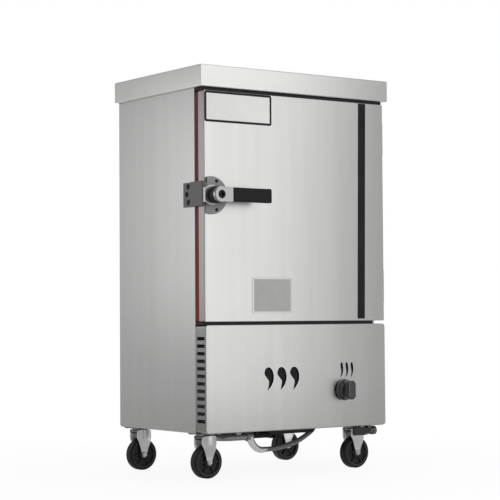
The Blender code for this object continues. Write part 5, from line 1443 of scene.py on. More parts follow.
@dataclass
class Latch(SubAssembly):
    """Rotary latch on the door: flange and post, bolt, lever with its tongue, and grip."""

    x: float = -0.322
    z: float = 0.84817
    face: float = -0.2435
    flange_radius: float = 0.057
    flange: float = 0.005
    flange_cut: float = 0.0215
    screw: Point = (0.0052, 0.0026)
    screw_margin: float = 0.0105
    screw_angle: float = 68.0
    post: float = 0.016
    hub: float = 0.0245
    hub_front: float = -0.3032
    hub_round: float = 0.003
    tongue_rear: float = -0.2542
    tongue: float = 0.0125
    tongue_reach: float = 0.036
    tongue_half: float = 0.030
    tip_half: float = 0.022
    bolt: float = 0.0127
    bolt_proud: float = 0.0015
    arm_half: float = 0.022
    arm: float = 0.012
    arm_reach: float = 0.042
    tang_half: float = 0.012
    tang: float = 0.006
    tang_reach: float = 0.168
    grip_reach: float = 0.180
    grip_half: float = 0.0215
    grip: float = 0.016
    grip_round: float = 0.003
    sleeve: float = 0.0012
    edge: float = 0.0015
    notch_shade: tuple[Point, ...] = ((0.0, 0.036), (0.004, 0.036), (0.0045, 0.053), (0.003, 0.0535), (0.0, 0.0515))
    notch_set: float = 0.0002
    notch_proud: float = 0.0008
    bolt_seat: float = 0.0077
    bolt_length: float = 0.020
    socket_depth: float = 0.006
    recess: float = 0.008
    arm_round: float = 0.004

    @property
    def centre(self) -> Point:
        """Axis of the latch."""
        return (self.x, self.z)

    def build(self) -> None:
        """Lay every piece of the latch."""
        self.base()
        self.pivot()
        self.lever()
        self.handle()

    def base(self) -> None:
        """Cast flange with a raised rim, its post, the screws that hold it and a dark sheet that paints the
        shade of the notch at its edge.
        """
        opening = degrees(acos(self.flange_cut / self.flange_radius))
        front = self.face - self.flange
        outline = arc(self.centre, self.flange_radius, opening - 180, 180 - opening, 56)
        flange = prism(Axis.Y, outline, self.face, front, self.edge)
        wide = self.post + self.flange + 0.004
        boss = [(wide, self.face - self.edge), (wide, front - self.edge / 2)]
        for inset, depth in fillet_steps(self.flange):
            boss.append((self.post + inset, front - 0.002 - depth))
        tongue_front = self.tongue_rear - self.tongue
        boss += [(self.post, tongue_front + self.edge), (self.post - self.edge, tongue_front)]
        mesh = joined(flange, turned(Axis.Y, self.centre, boss))
        self.lay("latch_flange", mesh, CAST_GREY, ("latch_base",), body="door")
        # Painted shade: a dark sheet on the flange stands in for the shade in the notch at its left edge.
        left = self.x - self.flange_cut + self.notch_set
        notch_shade = [(left + across, self.z + up) for across, up in self.notch_shade]
        mesh = prism(Axis.Y, notch_shade, front, front - self.notch_proud)
        self.lay("latch_flange_notch", mesh, SCREW_STEEL, body="door")
        reach = self.flange_radius - self.screw_margin
        places = []
        for turn in (radians(self.screw_angle), radians(-self.screw_angle)):
            places.append((self.x + reach * cos(turn), front, self.z + reach * sin(turn)))
        head = pan_head(Axis.Y, -1.0, *self.screw)
        self.screws("latch_screws", places, head, Axis.Y, SCREW_STEEL, body="door")

    def pivot(self) -> None:
        """Dark socket bolt in the middle of the hub."""
        front = self.hub_front - self.bolt_proud
        seat = self.hub_front + self.bolt_seat
        profile = [
            (self.bolt * 0.5, self.hub_front + self.bolt_length),
            (self.bolt * 0.5, seat),
            (self.bolt, seat),
            (self.bolt, front + self.edge),
            (self.bolt - self.edge * 0.3, front + self.edge * 0.3),
            (self.bolt - self.edge, front),
        ]
        hexagon = circle(self.centre, self.bolt * 0.52, 6)
        socket = prism(Axis.Y, hexagon, front - OVERRUN, front + self.socket_depth)
        mesh = cut(turned(Axis.Y, self.centre, profile), socket)
        self.lay("latch_socket_bolt", mesh, BOLT_BLACK, ("latch_bolt",), body="door")

    def lever(self) -> None:
        """Chromed hub with its tongue to the left, the arm and tang to the right, and a dark band round the
        hub that paints its shade and dark reflections.
        """
        hub = [(self.hub - self.edge, self.tongue_rear), (self.hub, self.tongue_rear - self.edge)]
        hub += fillet(self.hub, self.hub_front, self.hub_round, 5)
        tip = self.x - self.tongue_reach
        knee = self.x - self.tongue_reach * 0.55
        outline = [
            (self.x, self.z - self.tongue_half), (self.x, self.z + self.tongue_half),
            (knee, self.z + self.tongue_half), (tip, self.z + self.tip_half),
            (tip, self.z - self.tip_half), (knee, self.z - self.tongue_half),
        ]
        tongue = prism(Axis.Y, outline, self.tongue_rear, self.tongue_rear - self.tongue, self.edge)
        end = self.x + self.arm_reach
        low, high = (self.x, self.z - self.arm_half), (end, self.z + self.arm_half)
        arm_outline = rounded(low, high, self.arm_round)
        arm = prism(Axis.Y, arm_outline, self.hub_front + GAP, self.hub_front + self.arm, self.edge)
        middle = self.hub_front + self.arm / 2
        tang = block(
            (self.x + self.hub, middle - self.tang / 2, self.z - self.tang_half),
            (self.x + self.tang_reach, middle + self.tang / 2, self.z + self.tang_half),
        )
        shape = joined(turned(Axis.Y, self.centre, hub), tongue, arm, tang)
        tools = []
        for radius, near, far in (
            (self.post + GAP, self.tongue_rear + OVERRUN, self.tongue_rear - self.tongue - GAP),
            (self.bolt + GAP, self.hub_front - OVERRUN, self.hub_front + self.recess),
        ):
            tools.append(turned(Axis.Y, self.centre, [(radius, near), (radius, far)]))
        self.lay("latch_arm", cut(shape, *tools), LEVER_CHROME, ("latch_lever",), body="latch")
        # Painted shade and reflection: a dark band round the hub's barrel stands in for its dark reflections
        # and the shade between hub and post.
        start = self.tongue_rear - self.tongue - GAP
        end = self.hub_front + self.arm + GAP
        sleeve = turned(Axis.Y, self.centre, [
            (self.hub - self.sleeve, start), (self.hub + self.sleeve, start), (self.hub + self.sleeve, end),
            (self.hub - self.sleeve, end),
        ], closed=True)
        self.lay("latch_sleeve", sleeve, IRON, body="latch")

    def handle(self) -> None:
        """Moulded grip with a faint waist and nearly square ends."""
        middle = self.hub_front + self.arm / 2
        start = self.x + self.arm_reach + GAP
        end = self.x + self.grip_reach
        length = end - start
        sections = []
        for share, size in (
            (0.0, 0.92), (0.006, 0.97), (0.02, 1.0), (0.25, 0.995), (0.5, 0.985),
            (0.75, 0.995), (0.97, 1.0), (0.99, 0.985), (1.0, 0.92),
        ):
            half = self.grip_half * size
            thick = self.grip * (0.4 + 0.6 * size) / 2
            low, high = (middle - thick, self.z - half), (middle + thick, self.z + half)
            sections.append((rounded(low, high, self.grip_round), start + share * length))
        pocket = block(
            (start - OVERRUN, middle - self.tang / 2 - GAP, self.z - self.tang_half - GAP),
            (self.x + self.tang_reach + GAP, middle + self.tang / 2 + GAP, self.z + self.tang_half + GAP),
        )
        mesh = cut(loft(Axis.X, sections), pocket)
        self.lay("latch_handle", mesh, GRIP_BLACK, ("latch_grip",), smooth=50.0, body="latch")


@dataclass
class Keeper(SubAssembly):
    """Cast strike on the left side with its three screws."""

    plate: float = 0.004
    reach: float = 0.057
    front: float = -0.1915
    screw_spots: tuple[Point, ...] = ((0.53, 0.83), (0.66, 0.52), (0.52, 0.19))
    screw: Point = (0.0086, 0.0018)

    def build(self) -> None:
        """Lay the strike and its screws."""
        self.soften("keeper", STRIKE_GREY, 0.0008)
        low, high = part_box("keeper")
        face = high.x - self.plate
        places = []
        for across, up in self.screw_spots:
            places.append((face, self.front + self.reach * across, low.z + (high.z - low.z) * up))
        head = pan_head(Axis.X, -1.0, *self.screw)
        self.screws("keeper_screws", places, head, Axis.X, BOLT_BLACK)


@dataclass(frozen=True)
class CutOuts:
    """Three equal cut-outs side by side, each a leaning drop with one sharp tip."""

    size: Point
    centre: float
    pitch: float
    rise: float
    shares: tuple[Point, ...]
    tip: int

    def drop(self, left: float, bottom: float) -> Outline:
        """Outline of one drop.

        Args:
            left: Left edge of the drop.
            bottom: Its lowest point.

        Returns:
            The outline, smooth but for the tip.
        """
        corners = [Vector((left + a * self.size[0], bottom + b * self.size[1])) for a, b in self.shares]
        count = len(corners)
        outline = []
        for i in range(count):
            a, b, c, d = (corners[(i + k - 1) % count] for k in range(4))
            if i in (self.tip - 1, self.tip):
                outline.append(tuple(b))
                continue
            for step in range(3):
                t = step / 3
                bend = (2 * a - 5 * b + 4 * c - d) * t**2 + (3 * b - a - 3 * c + d) * t**3
                outline.append(tuple(b + ((c - a) * t + bend) / 2))
        return outline

    def outlines(self, base: float) -> list[Outline]:
        """Outlines of the three drops over the height of the panel's lower edge."""
        first = self.centre - self.size[0] / 2
        return [self.drop(first + step * self.pitch, base + self.rise) for step in (-1, 0, 1)]

    def shade_sheet(self, base: float, front: float, margin: float) -> Mesh:
        """Dark sheet behind the drops, which paints the shade seen through them.

        Args:
            base: Height of the panel's lower edge.
            front: Front face of the sheet.
            margin: How far it reaches past the drops.

        Returns:
            The mesh.
        """
        half = self.pitch + self.size[0] / 2 + margin
        bottom = base + self.rise
        low = (self.centre - half, front, bottom - margin)
        return block(low, (self.centre + half, front + SHEET, bottom + self.size[1] + margin))


FLAMES = CutOuts(
    (0.0355, 0.0735), -0.0655, 0.0485, 0.1195,
    (
        (0.40, 1.00), (0.64, 0.975), (0.84, 0.88), (0.97, 0.73), (1.00, 0.60), (0.97, 0.46), (0.86, 0.32),
        (0.66, 0.18), (0.31, 0.00), (0.40, 0.19), (0.47, 0.40), (0.38, 0.48), (0.21, 0.57), (0.03, 0.69),
        (0.00, 0.79), (0.10, 0.91), (0.24, 0.98),
    ),
    8,
)
WISPS = CutOuts(
    (0.0125, 0.0485), 0.187, 0.0202, 0.1535,
    (
        (0.50, 1.00), (0.82, 0.92), (1.00, 0.70), (1.00, 0.50), (0.86, 0.30), (0.52, 0.12), (0.02, 0.00),
        (0.26, 0.16), (0.38, 0.34), (0.34, 0.52), (0.18, 0.72), (0.18, 0.92),
    ),
    6,
)


@dataclass
class LowerPanel(SubAssembly):
    """Folded panel below the door with its flame cut-outs, wisps and slotted sides."""

    corner: float = 0.010
    fillet: float = 0.0025
    top_rise: float = 0.003
    slots: int = 12
    slot_height: float = 0.0105
    slot_corner: float = 0.003
    slot_top: float = 0.037
    slot_pitch: float = 0.022345
    slot_front: float = 0.0055
    slot_rear: float = 0.0070
    shade_sheet_gap: float = 0.003
    shade_sheet_margin: float = 0.010
    valve_x: float = 0.173
    valve_rise: float = 0.117
    spindle_hole: float = 0.006

    def build(self) -> None:
        """Lay the panel, the dark sheets that paint the shade behind its cut-outs and the painted highlight
        rims round them.
        """
        low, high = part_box("lower_front_panel")
        top = high.z + self.top_rise
        pan = Pan((low.x, low.z), (high.x, top), self.corner, low.y, high.y, self.fillet).mesh()
        near = low.y - OVERRUN
        far = low.y + OVERRUN
        drops = FLAMES.outlines(low.z) + WISPS.outlines(low.z)
        tools = [prism(Axis.Y, outline, near, far) for outline in drops]
        valve = (self.valve_x, low.z + self.valve_rise)
        tools.append(prism(Axis.Y, circle(valve, self.spindle_hole, 24), near, far))
        tools += self.side_slots(low, high)
        shape = cut(pan, *tools)
        fold = self.fillet + SHEET + GAP
        floor = block(
            (low.x + SHEET, low.y + SHEET, low.z - OVERRUN), (high.x - SHEET, high.y + OVERRUN, low.z + fold)
        )
        self.lay("lower_panel", cut(shape, floor), PANEL_STEEL, ("lower_front_panel",))
        # Painted shade: dark sheets behind the cut-outs, where the inside of the panel lies in shade.
        front = low.y + SHEET + self.shade_sheet_gap
        sheets = [group.shade_sheet(low.z, front, self.shade_sheet_margin) for group in (FLAMES, WISPS)]
        self.lay("cut_out_shields", gathered(sheets), BOLT_BLACK)
        # Painted highlight: rims of lighter steel round the cut-outs.
        edging = []
        for outline in drops:
            wide = shrunk(outline, -0.0010)
            face = low.y - GAP
            edging.append(loft(Axis.Y, [
                (wide, low.y), (wide, face), (shrunk(outline, 0.0001), face), (outline, low.y)
            ], closed=True))
        self.lay("cut_out_edges", gathered(edging), TRAY_STEEL)

    def side_slots(self, low: Vector, high: Vector) -> list[Mesh]:
        """Cutters of the slots in both returns, as rows of copies.

        Args:
            low: Lowest corner of the panel.
            high: Highest corner of it.

        Returns:
            One row for each side.
        """
        rows = []
        top = high.z - self.slot_top
        for side in (low.x, high.x):
            slot = rounded(
                (low.y + self.slot_front, top - self.slot_height / 2),
                (high.y - self.slot_rear, top + self.slot_height / 2),
                self.slot_corner,
            )
            cutter = prism(Axis.X, slot, side - OVERRUN / 2, side + OVERRUN / 2)
            rows.append(self.row(cutter, PANEL_STEEL, self.slots, (0.0, 0.0, -self.slot_pitch)))
        return rows


@dataclass
class GasControl(SubAssembly):
    """Valve behind the panel, its spindle and the knob in front."""

    x: float = 0.173
    z: float = 0.2548
    rear: float = -0.2514
    radius: float = 0.033
    skirt: float = 0.007
    dome: float = 0.025
    dome_height: float = 0.006
    bar_width: float = 0.029
    bar_height: float = 0.029
    bar_share: float = 0.90
    skirt_round: float = 0.0022
    dome_round: float = 0.0045
    crease: float = 0.0012
    bar_round: float = 0.0040
    socket: Point = (0.0043, 0.012)

    def build(self) -> None:
        """Lay the valve, the spindle and the knob."""
        self.soften("gas_valve", BRASS, 0.0004)
        self.dress("valve_spindle", BRASS)
        centre = (self.x, self.z)
        base = self.rear - self.skirt
        top = base - self.dome_height
        profile = [(self.radius - 0.0005, self.rear), (self.radius, self.rear - 0.001)]
        profile += fillet(self.radius, base, self.skirt_round, 5)
        profile += [(self.dome + self.crease, base), (self.dome, base - self.crease)]
        profile += fillet(self.dome, top, self.dome_round, 7)
        cap = turned(Axis.Y, centre, profile, 72)
        reach = self.radius * self.bar_share
        half = self.bar_width / 2
        outline = rounded(
            (self.x - half, self.z - reach), (self.x + half, self.z + reach), half * 0.9, steps=8
        )
        bar = prism(Axis.Y, outline, top - self.bar_height, base + 0.001, self.bar_round)
        bore, depth = self.socket
        socket = turned(Axis.Y, centre, [(bore, self.rear + OVERRUN), (bore, self.rear - depth)], 24)
        mesh = cut(joined(cap, bar), socket)
        self.lay("knob", mesh, KNOB_BLACK, ("gas_knob",), smooth=40.0, body="knob")


@dataclass
class GasLine(SubAssembly):
    """Inlet pipe, chromed elbow, braided connector and the feed to the burner.

    The connector is fixed at both ends and keeps its formed shape.
    """

    pipe_x: float = -0.190
    pipe_y: float = -0.1027
    pipe_z: float = 0.1118
    pipe_radius: float = 0.010
    pipe_bend: float = 0.030
    riser_y: float = -0.0412
    riser_bend: float = 0.020
    run_z: float = 0.1828
    tail: float = 0.288
    union_start: float = -0.102
    union_length: float = 0.024
    union_radius: float = 0.0135
    hose_radius: float = 0.0078
    hose_sides: int = 24
    pitch: float = 0.004
    bead_pitch: float = 0.0042
    elbow_radii: Point = (0.0125, 0.0092)
    riser_x: float = 0.1673
    valve_x: float = 0.173
    valve_y: float = -0.2247
    hose_end: float = 0.2205
    front_clip: tuple[Point, Point] = ((-0.140, -0.1087), (-0.122, -0.0967))
    rear_clip: tuple[Point, Point] = ((-0.190, 0.181), (-0.181, 0.199))
    rear_clip_rise: float = 0.0033
    grommet: Point = (0.0055, 0.003)
    bracket_low: Place = (-0.020, -0.1170, 0.1165)
    bracket_end: float = 0.160
    bracket_slant: float = 0.006
    bracket_sheet: float = 0.003
    bracket_lip: float = 0.0055
    elbow_run: tuple[Point, ...] = (
        (-0.0862, 0.1118), (-0.0849, 0.1060), (-0.0804, 0.0958), (-0.0702, 0.0825), (-0.0588, 0.0737),
        (-0.0439, 0.0690), (-0.0360, 0.0690), (-0.0340, 0.0691),
    )
    hose_run: tuple[Point, ...] = (
        (-0.0380, 0.0690), (-0.0340, 0.0691), (-0.0241, 0.0696), (-0.0009, 0.0706), (0.0225, 0.0729),
        (0.0461, 0.0764), (0.0697, 0.0812), (0.0936, 0.0878), (0.1171, 0.0980), (0.1364, 0.1081),
        (0.1540, 0.1195),
    )

    def build(self) -> None:
        """Lay every piece of the gas line."""
        self.inlet()
        self.connector()
        self.bracket()
        self.soften("burner_feed_pipe", CHROME, 0.0, 60.0)

    def inlet(self) -> None:
        """Pipe from the hexagon union up through the deck and out at the rear, with its clips."""
        middle = (self.pipe_x + self.pipe_bend, self.pipe_y + self.pipe_bend)
        corner = arc(middle, self.pipe_bend, 270, 180, 10)
        bend = self.riser_bend
        lower = arc((self.riser_y - bend, self.pipe_z + bend), bend, -90, 0, 8)
        upper = arc((self.riser_y + bend, self.run_z - bend), bend, 180, 90, 8)
        path = [Vector((self.union_start + self.union_length / 2, self.pipe_y, self.pipe_z))]
        path += [Vector((x, y, self.pipe_z)) for x, y in corner]
        path += [Vector((self.pipe_x, y, z)) for y, z in lower + upper]
        path.append(Vector((self.pipe_x, self.tail, self.run_z)))
        union = prism(
            Axis.X, circle((self.pipe_y, self.pipe_z), self.union_radius, 6),
            self.union_start, self.union_start + self.union_length, 0.0015,
        )
        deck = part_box("base_frame")[0].z
        clips = []
        for (low, high), bottom, top in (
            (self.front_clip, self.pipe_z, deck - GAP),
            (self.rear_clip, deck + self.rear_clip_rise, self.run_z),
        ):
            clips.append(block((*low, bottom), (*high, top), 0.001))
        pipe = joined(tube(path, [self.pipe_radius], 28), *clips)
        self.lay("inlet_pipe", pipe, PLATE_ZINC, ("gas_inlet_pipe",))
        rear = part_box("back_panel")[1].y
        wide, proud = self.grommet
        bore, rim = self.pipe_radius + GAP, self.pipe_radius + wide
        ring = turned(Axis.Y, (self.pipe_x, self.run_z), [
            (bore, rear + proud), (rim - proud / 2, rear + proud), (rim, rear + proud / 2), (rim, rear),
            (bore, rear),
        ], closed=True)
        self.lay("inlet_grommet", ring, TREAD_RUBBER)
        self.lay("pipe_union", union, CAST_GREY)

    def bracket(self) -> None:
        """Dark angle under the deck in front of the connector, with a slanted end."""
        left, face, bottom = self.bracket_low
        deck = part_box("base_frame")[0].z - GAP
        side = [
            (left, bottom), (self.bracket_end - self.bracket_slant, bottom),
            (self.bracket_end, deck), (left, deck),
        ]
        sheet = self.bracket_sheet
        upright = prism(Axis.Y, side, face, face + sheet)
        flat = block((left, face, deck - sheet), (self.bracket_end, face + self.bracket_lip, deck))
        self.lay("connector_bracket", joined(upright, flat), IRON, bevel=0.0005)

    def route(self) -> list[Vector]:
        """Middle line of the braided sleeve, from the elbow to the valve.

        Returns:
            Points at an even pitch.
        """
        points = [(x, self.pipe_y, z) for x, z in self.hose_run]
        points += [
            (self.riser_x, self.pipe_y, 0.13655),
            (self.riser_x, self.pipe_y - self.hose_radius, 0.1798),
            (self.valve_x, (self.pipe_y + self.valve_y) / 2, 0.1968),
            (self.valve_x, self.valve_y, self.hose_end - self.hose_radius * 2),
            (self.valve_x, self.valve_y, self.hose_end),
        ]
        return evenly_spaced(curve_through(points, 8), self.pitch)

    def connector(self) -> None:
        """Chromed elbow, braided sleeve mapped along its run, and a crimped collar at each end."""
        bend = [(x, self.pipe_y, z) for x, z in self.elbow_run]
        bend = evenly_spaced(curve_through(bend, 8), 0.003)
        wide, slim = self.elbow_radii
        radii = [wide + (slim - wide) * i / (len(bend) - 1) for i in range(len(bend))]
        self.lay("hose_elbow", tube(bend, radii, 32), ELBOW_CHROME_SHEEN, ("gas_hose",), smooth=60.0)
        route = self.route()
        sleeve = tube(route, [self.hose_radius], self.hose_sides)
        self.map_run(sleeve)
        self.lay("hose_sleeve", sleeve, BRAIDED_WIRE, smooth=60.0)
        bead = turned(Axis.Z, (0, 0), [
            (self.hose_radius * 0.9, -0.002), (self.hose_radius * 1.12, -0.0013),
            (self.hose_radius * 1.12, 0.0013), (self.hose_radius * 0.9, 0.002),
        ], 24)
        part = scene_object(bead)
        meshes = []
        for stretch in (route[:4], route[-5:]):
            line = bpy.data.meshes.new("line")
            pairs = [(i, i + 1) for i in range(len(stretch) - 1)]
            line.from_pydata(stretch, pairs, [])
            meshes.append(self.repeated(Pattern.BEADS, line, CHROME, Bead=part, Pitch=self.bead_pitch))
        bpy.data.objects.remove(part)
        self.lay("hose_collars", gathered(meshes), CHROME)

    def map_run(self, mesh: Mesh) -> None:
        """Map the sleeve by metres along its route and turns round it.

        Args:
            mesh: The sleeve.
        """
        layer = mesh.uv_layers.new(name="run")
        last = self.hose_sides - 1
        for face in mesh.polygons:
            for loop, vertex in zip(face.loop_indices, face.vertices):
                ring, side = divmod(vertex, self.hose_sides)
                share = side / self.hose_sides
                if side == 0 and any(v % self.hose_sides == last for v in face.vertices):
                    share = 1.0
                layer.data[loop].uv = (ring * self.pitch, share)


@dataclass
class Burner(SubAssembly):
    """Cast manifold with rows of jets on its cradle."""

    half_length: float = 0.078
    bar_width: float = 0.020
    bar_height: float = 0.014
    bars: int = 3
    jets: int = 7
    jet: float = 0.0035
    jet_height: float = 0.026
    horn: float = 0.011
    horn_length: float = 0.060

    def build(self) -> None:
        """Lay the cradle, the manifold and the jets."""
        self.soften("burner_cradle", IRON, 0.0006)
        low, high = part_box("burner")
        base = low.z
        top = base + self.bar_height
        half = self.bar_width / 2
        first = low.y + half
        last = high.y - half
        spread = (last - first) / (self.bars - 1)
        shape = block((-half, first, base), (half, last, top), 0.002)
        for i in range(self.bars):
            centre = first + i * spread
            low_end, high_end = (-self.half_length, centre - half), (self.half_length, centre + half)
            outline = rounded(low_end, high_end, half, steps=8)
            shape = joined(shape, prism(Axis.Z, outline, base, top, 0.003))
        middle = (first + last) / 2
        height = base + self.horn
        end = self.half_length + self.horn_length
        horn = turned(Axis.X, (middle, height), [
            (self.horn * 0.8, self.half_length - half), (self.horn * 0.8, end - self.horn_length / 2),
            (self.horn * 0.86, end - self.horn_length / 3), (self.horn, end - self.horn_length / 4),
            (self.horn, end - 0.002), (self.horn * 0.93, end), (self.horn * 0.7, end),
            (self.horn * 0.6, end - 0.006),
        ], 32)
        self.lay("burner_manifold", joined(shape, horn), IRON, ("burner",), smooth=40.0)
        self.rows(first, spread, top)

    def rows(self, first: float, spread: float, top: float) -> None:
        """Jets as rows of copies, one row on each bar.

        Args:
            first: Middle of the first bar in y.
            spread: Distance between two bars.
            top: Upper face of the bars.
        """
        reach = self.half_length - self.bar_width / 2
        tip = top + self.jet_height
        profile = [
            (self.jet * 1.25, top - 0.002), (self.jet * 1.25, top + 0.003), (self.jet * 0.9, top + 0.004),
            (self.jet * 0.9, tip - 0.004), (self.jet, tip - 0.003), (self.jet, tip - 0.0006),
            (self.jet * 0.8, tip), (self.jet * 0.35, tip), (self.jet * 0.3, tip - 0.004),
        ]
        meshes = []
        for i in range(self.bars):
            jet = turned(Axis.Z, (-reach, first + i * spread), profile, 14)
            meshes.append(self.row(jet, IRON, self.jets, (2 * reach / (self.jets - 1), 0.0, 0.0)))
        self.lay("burner_jets", gathered(meshes), IRON)


@dataclass
class Drain(SubAssembly):
    """Drain pipe with its ball valve and quarter-turn lever."""

    x: float = 0.288
    z: float = 0.1218
    hub: float = 0.009
    nut_set: float = 0.0032
    nut_edge: float = 0.0006

    def build(self) -> None:
        """Lay the valve, its lever and the nut that holds the lever."""
        self.soften("drain_valve", NICKEL, 0.0006, 40.0)
        self.soften("drain_lever", GLOSS_BLACK, 0.0008, 40.0, body="drain_handle")
        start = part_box("drain_lever")[0].y + self.nut_set
        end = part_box("drain_valve")[0].y + self.nut_edge
        nut = prism(Axis.Y, circle((self.x, self.z), self.hub * 0.75, 6), start, end, self.nut_edge)
        self.lay("drain_nut", nut, BRIGHT_SCREW)


@dataclass
class Hinges(SubAssembly):
    """Two hinges on the right edge, with their pins and screws."""

    screw_rows: tuple[float, ...] = (-0.036, 0.0, 0.036)
    body_screw: float = 0.040
    door_screw: float = 0.027
    barrel: float = 0.007
    leaf: float = 0.0025
    screw: Point = (0.0046, 0.0020)

    def build(self) -> None:
        """Lay the leaves, the pins and the screws."""
        head = pan_head(Axis.X, 1.0, *self.screw)
        for name in ("upper", "lower"):
            for leaf, body in (("body", "cabinet"), ("door", "door")):
                self.soften(f"hinge_{name}_{leaf}_leaf", PLATE_ZINC, 0.0005, 40.0, body)
            self.soften(f"hinge_{name}_pin", CHROME, 0.0003, 40.0)
        for leaf, body, reach in (("body", "cabinet", self.body_screw), ("door", "door", -self.door_screw)):
            places = []
            for name in ("upper", "lower"):
                low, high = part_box(f"hinge_{name}_{leaf}_leaf")
                axis = low.y + self.barrel if reach > 0 else high.y - self.barrel
                middle = (low.z + high.z) / 2
                places += [(low.x + self.leaf, axis + reach, middle + row) for row in self.screw_rows]
            self.screws(f"hinge_{leaf}_screws", places, head.copy(), Axis.X, BRIGHT_SCREW, body)


@dataclass
class BackFittings(SubAssembly):
    """Flue, float box and water inlet at the rear."""

    stub_x: float = -0.245
    stub_z: float = 0.3995
    stub: float = 0.008
    nut: float = 0.006
    washer: float = 0.0015
    ridges: int = 8
    ridge_pitch: float = 0.0018

    def build(self) -> None:
        """Lay the flue, the float box and the thread of the water inlet."""
        self.soften("flue_outlet", SIDE_STEEL, 0.0005)
        self.soften("float_box", INNER_STEEL, 0.0005, 40.0)
        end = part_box("float_box")[1].y
        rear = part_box("back_panel")[1].y
        centre = (self.stub_x, self.stub_z)
        nut = prism(Axis.Y, circle(centre, self.stub * 1.7, 6), rear, rear + self.nut, 0.0008)
        wide, top = self.stub * 2.0, rear + self.washer
        washer = turned(Axis.Y, centre, [
            (wide, rear), (wide, rear + self.washer * 0.8), (self.stub * 1.9, top),
        ])
        self.lay("inlet_nut", joined(washer, nut), BRASS)
        ridge = turned(Axis.Y, centre, [
            (self.stub * 0.98, end - 0.0022), (self.stub * 1.06, end - 0.0016),
            (self.stub * 1.06, end - 0.0012), (self.stub * 0.98, end - 0.0006),
        ], 32)
        thread = self.row(ridge, BRASS, self.ridges, (0.0, -self.ridge_pitch, 0.0))
        self.lay("inlet_thread", thread, BRASS)


@dataclass
class Caster(SubAssembly):
    """One swivel caster: bolted plate and race, stamped fork, and ribbed wheel."""

    name: str
    x: float
    y: float
    radius: float = 0.050
    tyre: float = 0.0497
    width: float = 0.0285
    top_gap: float = 0.0025
    head_height: float = 0.017
    race_height: float = 0.0142
    plate: float = 0.0035
    trail: float = 0.003
    bowl: float = 0.0295
    crown: float = 0.025
    race: float = 0.0285
    kingpin: float = 0.0075
    mount: Point = (0.084, 0.070)
    mount_corner: float = 0.007
    bolt_inset: float = 0.009
    bolt: Point = (0.0055, 0.0016)
    leg_sheet: float = 0.003
    leg_inner: float = 0.0153
    leg_wrap: float = 0.0298
    leg_top: float = 0.1300
    shoulder: float = 0.104
    top_half: float = 0.0255
    axle_half: float = 0.0075
    rib: float = 0.0030
    rib_proud: float = 0.0012
    axle: float = 0.006
    axle_head: float = 0.0085
    hub: float = 0.016
    hub_proud: float = 0.0015
    tread: float = 0.042
    tread_round: float = 0.005
    web_set: float = 0.005
    spoke_half: float = 0.0022
    ribs: int = 6
    sides: int = 72

    @property
    def crown_bottom(self) -> float:
        """Lowest height of the fork's head."""
        return 2 * self.radius + self.top_gap

    @property
    def crown_top(self) -> float:
        """Highest height of the fork's head."""
        return self.crown_bottom + self.head_height

    def put(
        self, label: str, mesh: Mesh, finish: Finish, part: str, node: bool = False, smooth: float = 40.0
    ) -> None:
        """Lay a piece that was made about the caster's own axis, or a wheel's about its axle.

        Args:
            label: Name of the piece after the caster's.
            mesh: Its mesh, which is moved to its place.
            finish: Its finish.
            part: The plate, fork or wheel that it belongs to.
            node: Whether it stands for that part's node.
            smooth: Angle in degrees up to which faces shade as one.
        """
        axle = (self.trail, 0.0, self.radius) if part == "wheel" else (0.0, 0.0, 0.0)
        mesh.transform(Matrix.Translation((self.x + axle[0], self.y, axle[2])))
        nodes = (f"caster_{self.name}_{part}",) if node else ()
        body = "cabinet" if part == "plate" else f"{self.name}_{part}"
        self.lay(f"{self.name}_{label}", mesh, finish, nodes, smooth=smooth, body=body)

    def build(self) -> None:
        """Lay the plate, the fork and the wheel."""
        self.mount_plate()
        self.fork()
        self.wheel()

    def mount_plate(self) -> None:
        """Plate with bolts in its corners over a pressed ball race."""
        top = self.crown_top + GAP + self.race_height
        low = (-self.mount[0] / 2, -self.mount[1] / 2)
        high = (self.mount[0] / 2, self.mount[1] / 2)
        plate = prism(Axis.Z, rounded(low, high, self.mount_corner), top, top + self.plate, 0.0005)
        start = self.crown_top + GAP
        race = turned(Axis.Z, (0, 0), [
            (self.kingpin + GAP, start), (self.race * 0.86, start), (self.race * 0.95, start + 0.001),
            (self.race, start + 0.0035), (self.race, start + 0.007), (self.race * 0.93, start + 0.0085),
            (self.race * 0.93, start + 0.011), (self.race, top), (self.race, top + self.plate / 2),
            (self.kingpin + GAP, top + self.plate / 2),
        ], closed=True)
        self.put("mount", joined(plate, race), RACE_ZINC, "plate", True, 32.0)
        places = []
        for side in (-1, 1):
            for way in (-1, 1):
                across = self.x + side * (self.mount[0] / 2 - self.bolt_inset)
                deep = self.y + way * (self.mount[1] / 2 - self.bolt_inset)
                places.append((across, deep, top))
        head = hex_head(Axis.Z, -1.0, *self.bolt)
        self.screws(f"{self.name}_bolts", places, head, Axis.Z, BRIGHT_SCREW)

    def leg_section(self, side: int, half: float, height: float) -> Outline:
        """Cross-section of a leg with a rib along both edges.

        Args:
            side: Side of the wheel that the leg is on, -1 or 1.
            half: Half the width of the leg at this height.
            height: Height, which sets how far the leg wraps round the bowl.

        Returns:
            The outline, flat beside the wheel and curved beside the bowl.
        """
        share = min(max((height - 0.066) / (self.shoulder - 0.066), 0.0), 1.0)
        wrap = share * share * (3 - 2 * share)
        spread = asin(min(half / (self.leg_wrap + self.leg_sheet), 1.0))
        rib = min(self.rib / half, 0.45)
        inner = [(step / 4, 0.0) for step in range(-4, 5)]
        thick = self.leg_sheet
        proud = thick + self.rib_proud
        outer = [(1.0, proud), (1 - rib * 0.6, proud), (1 - rib, thick)]
        outer += [(step / 6, thick) for step in (3, 2, 1, 0, -1, -2, -3)]
        outer += [(rib - 1, thick), (rib * 0.6 - 1, proud), (-1.0, proud)]
        points = []
        for station, depth in inner + outer:
            turn = spread * station
            curved = (
                (self.leg_wrap + depth) * sin(turn), (self.leg_wrap + depth) * cos(turn)
            )
            flat = (self.trail + half * station, self.leg_inner + depth)
            x, y = (a + (b - a) * wrap for a, b in zip(flat, curved))
            points.append((x, side * y))
        return points

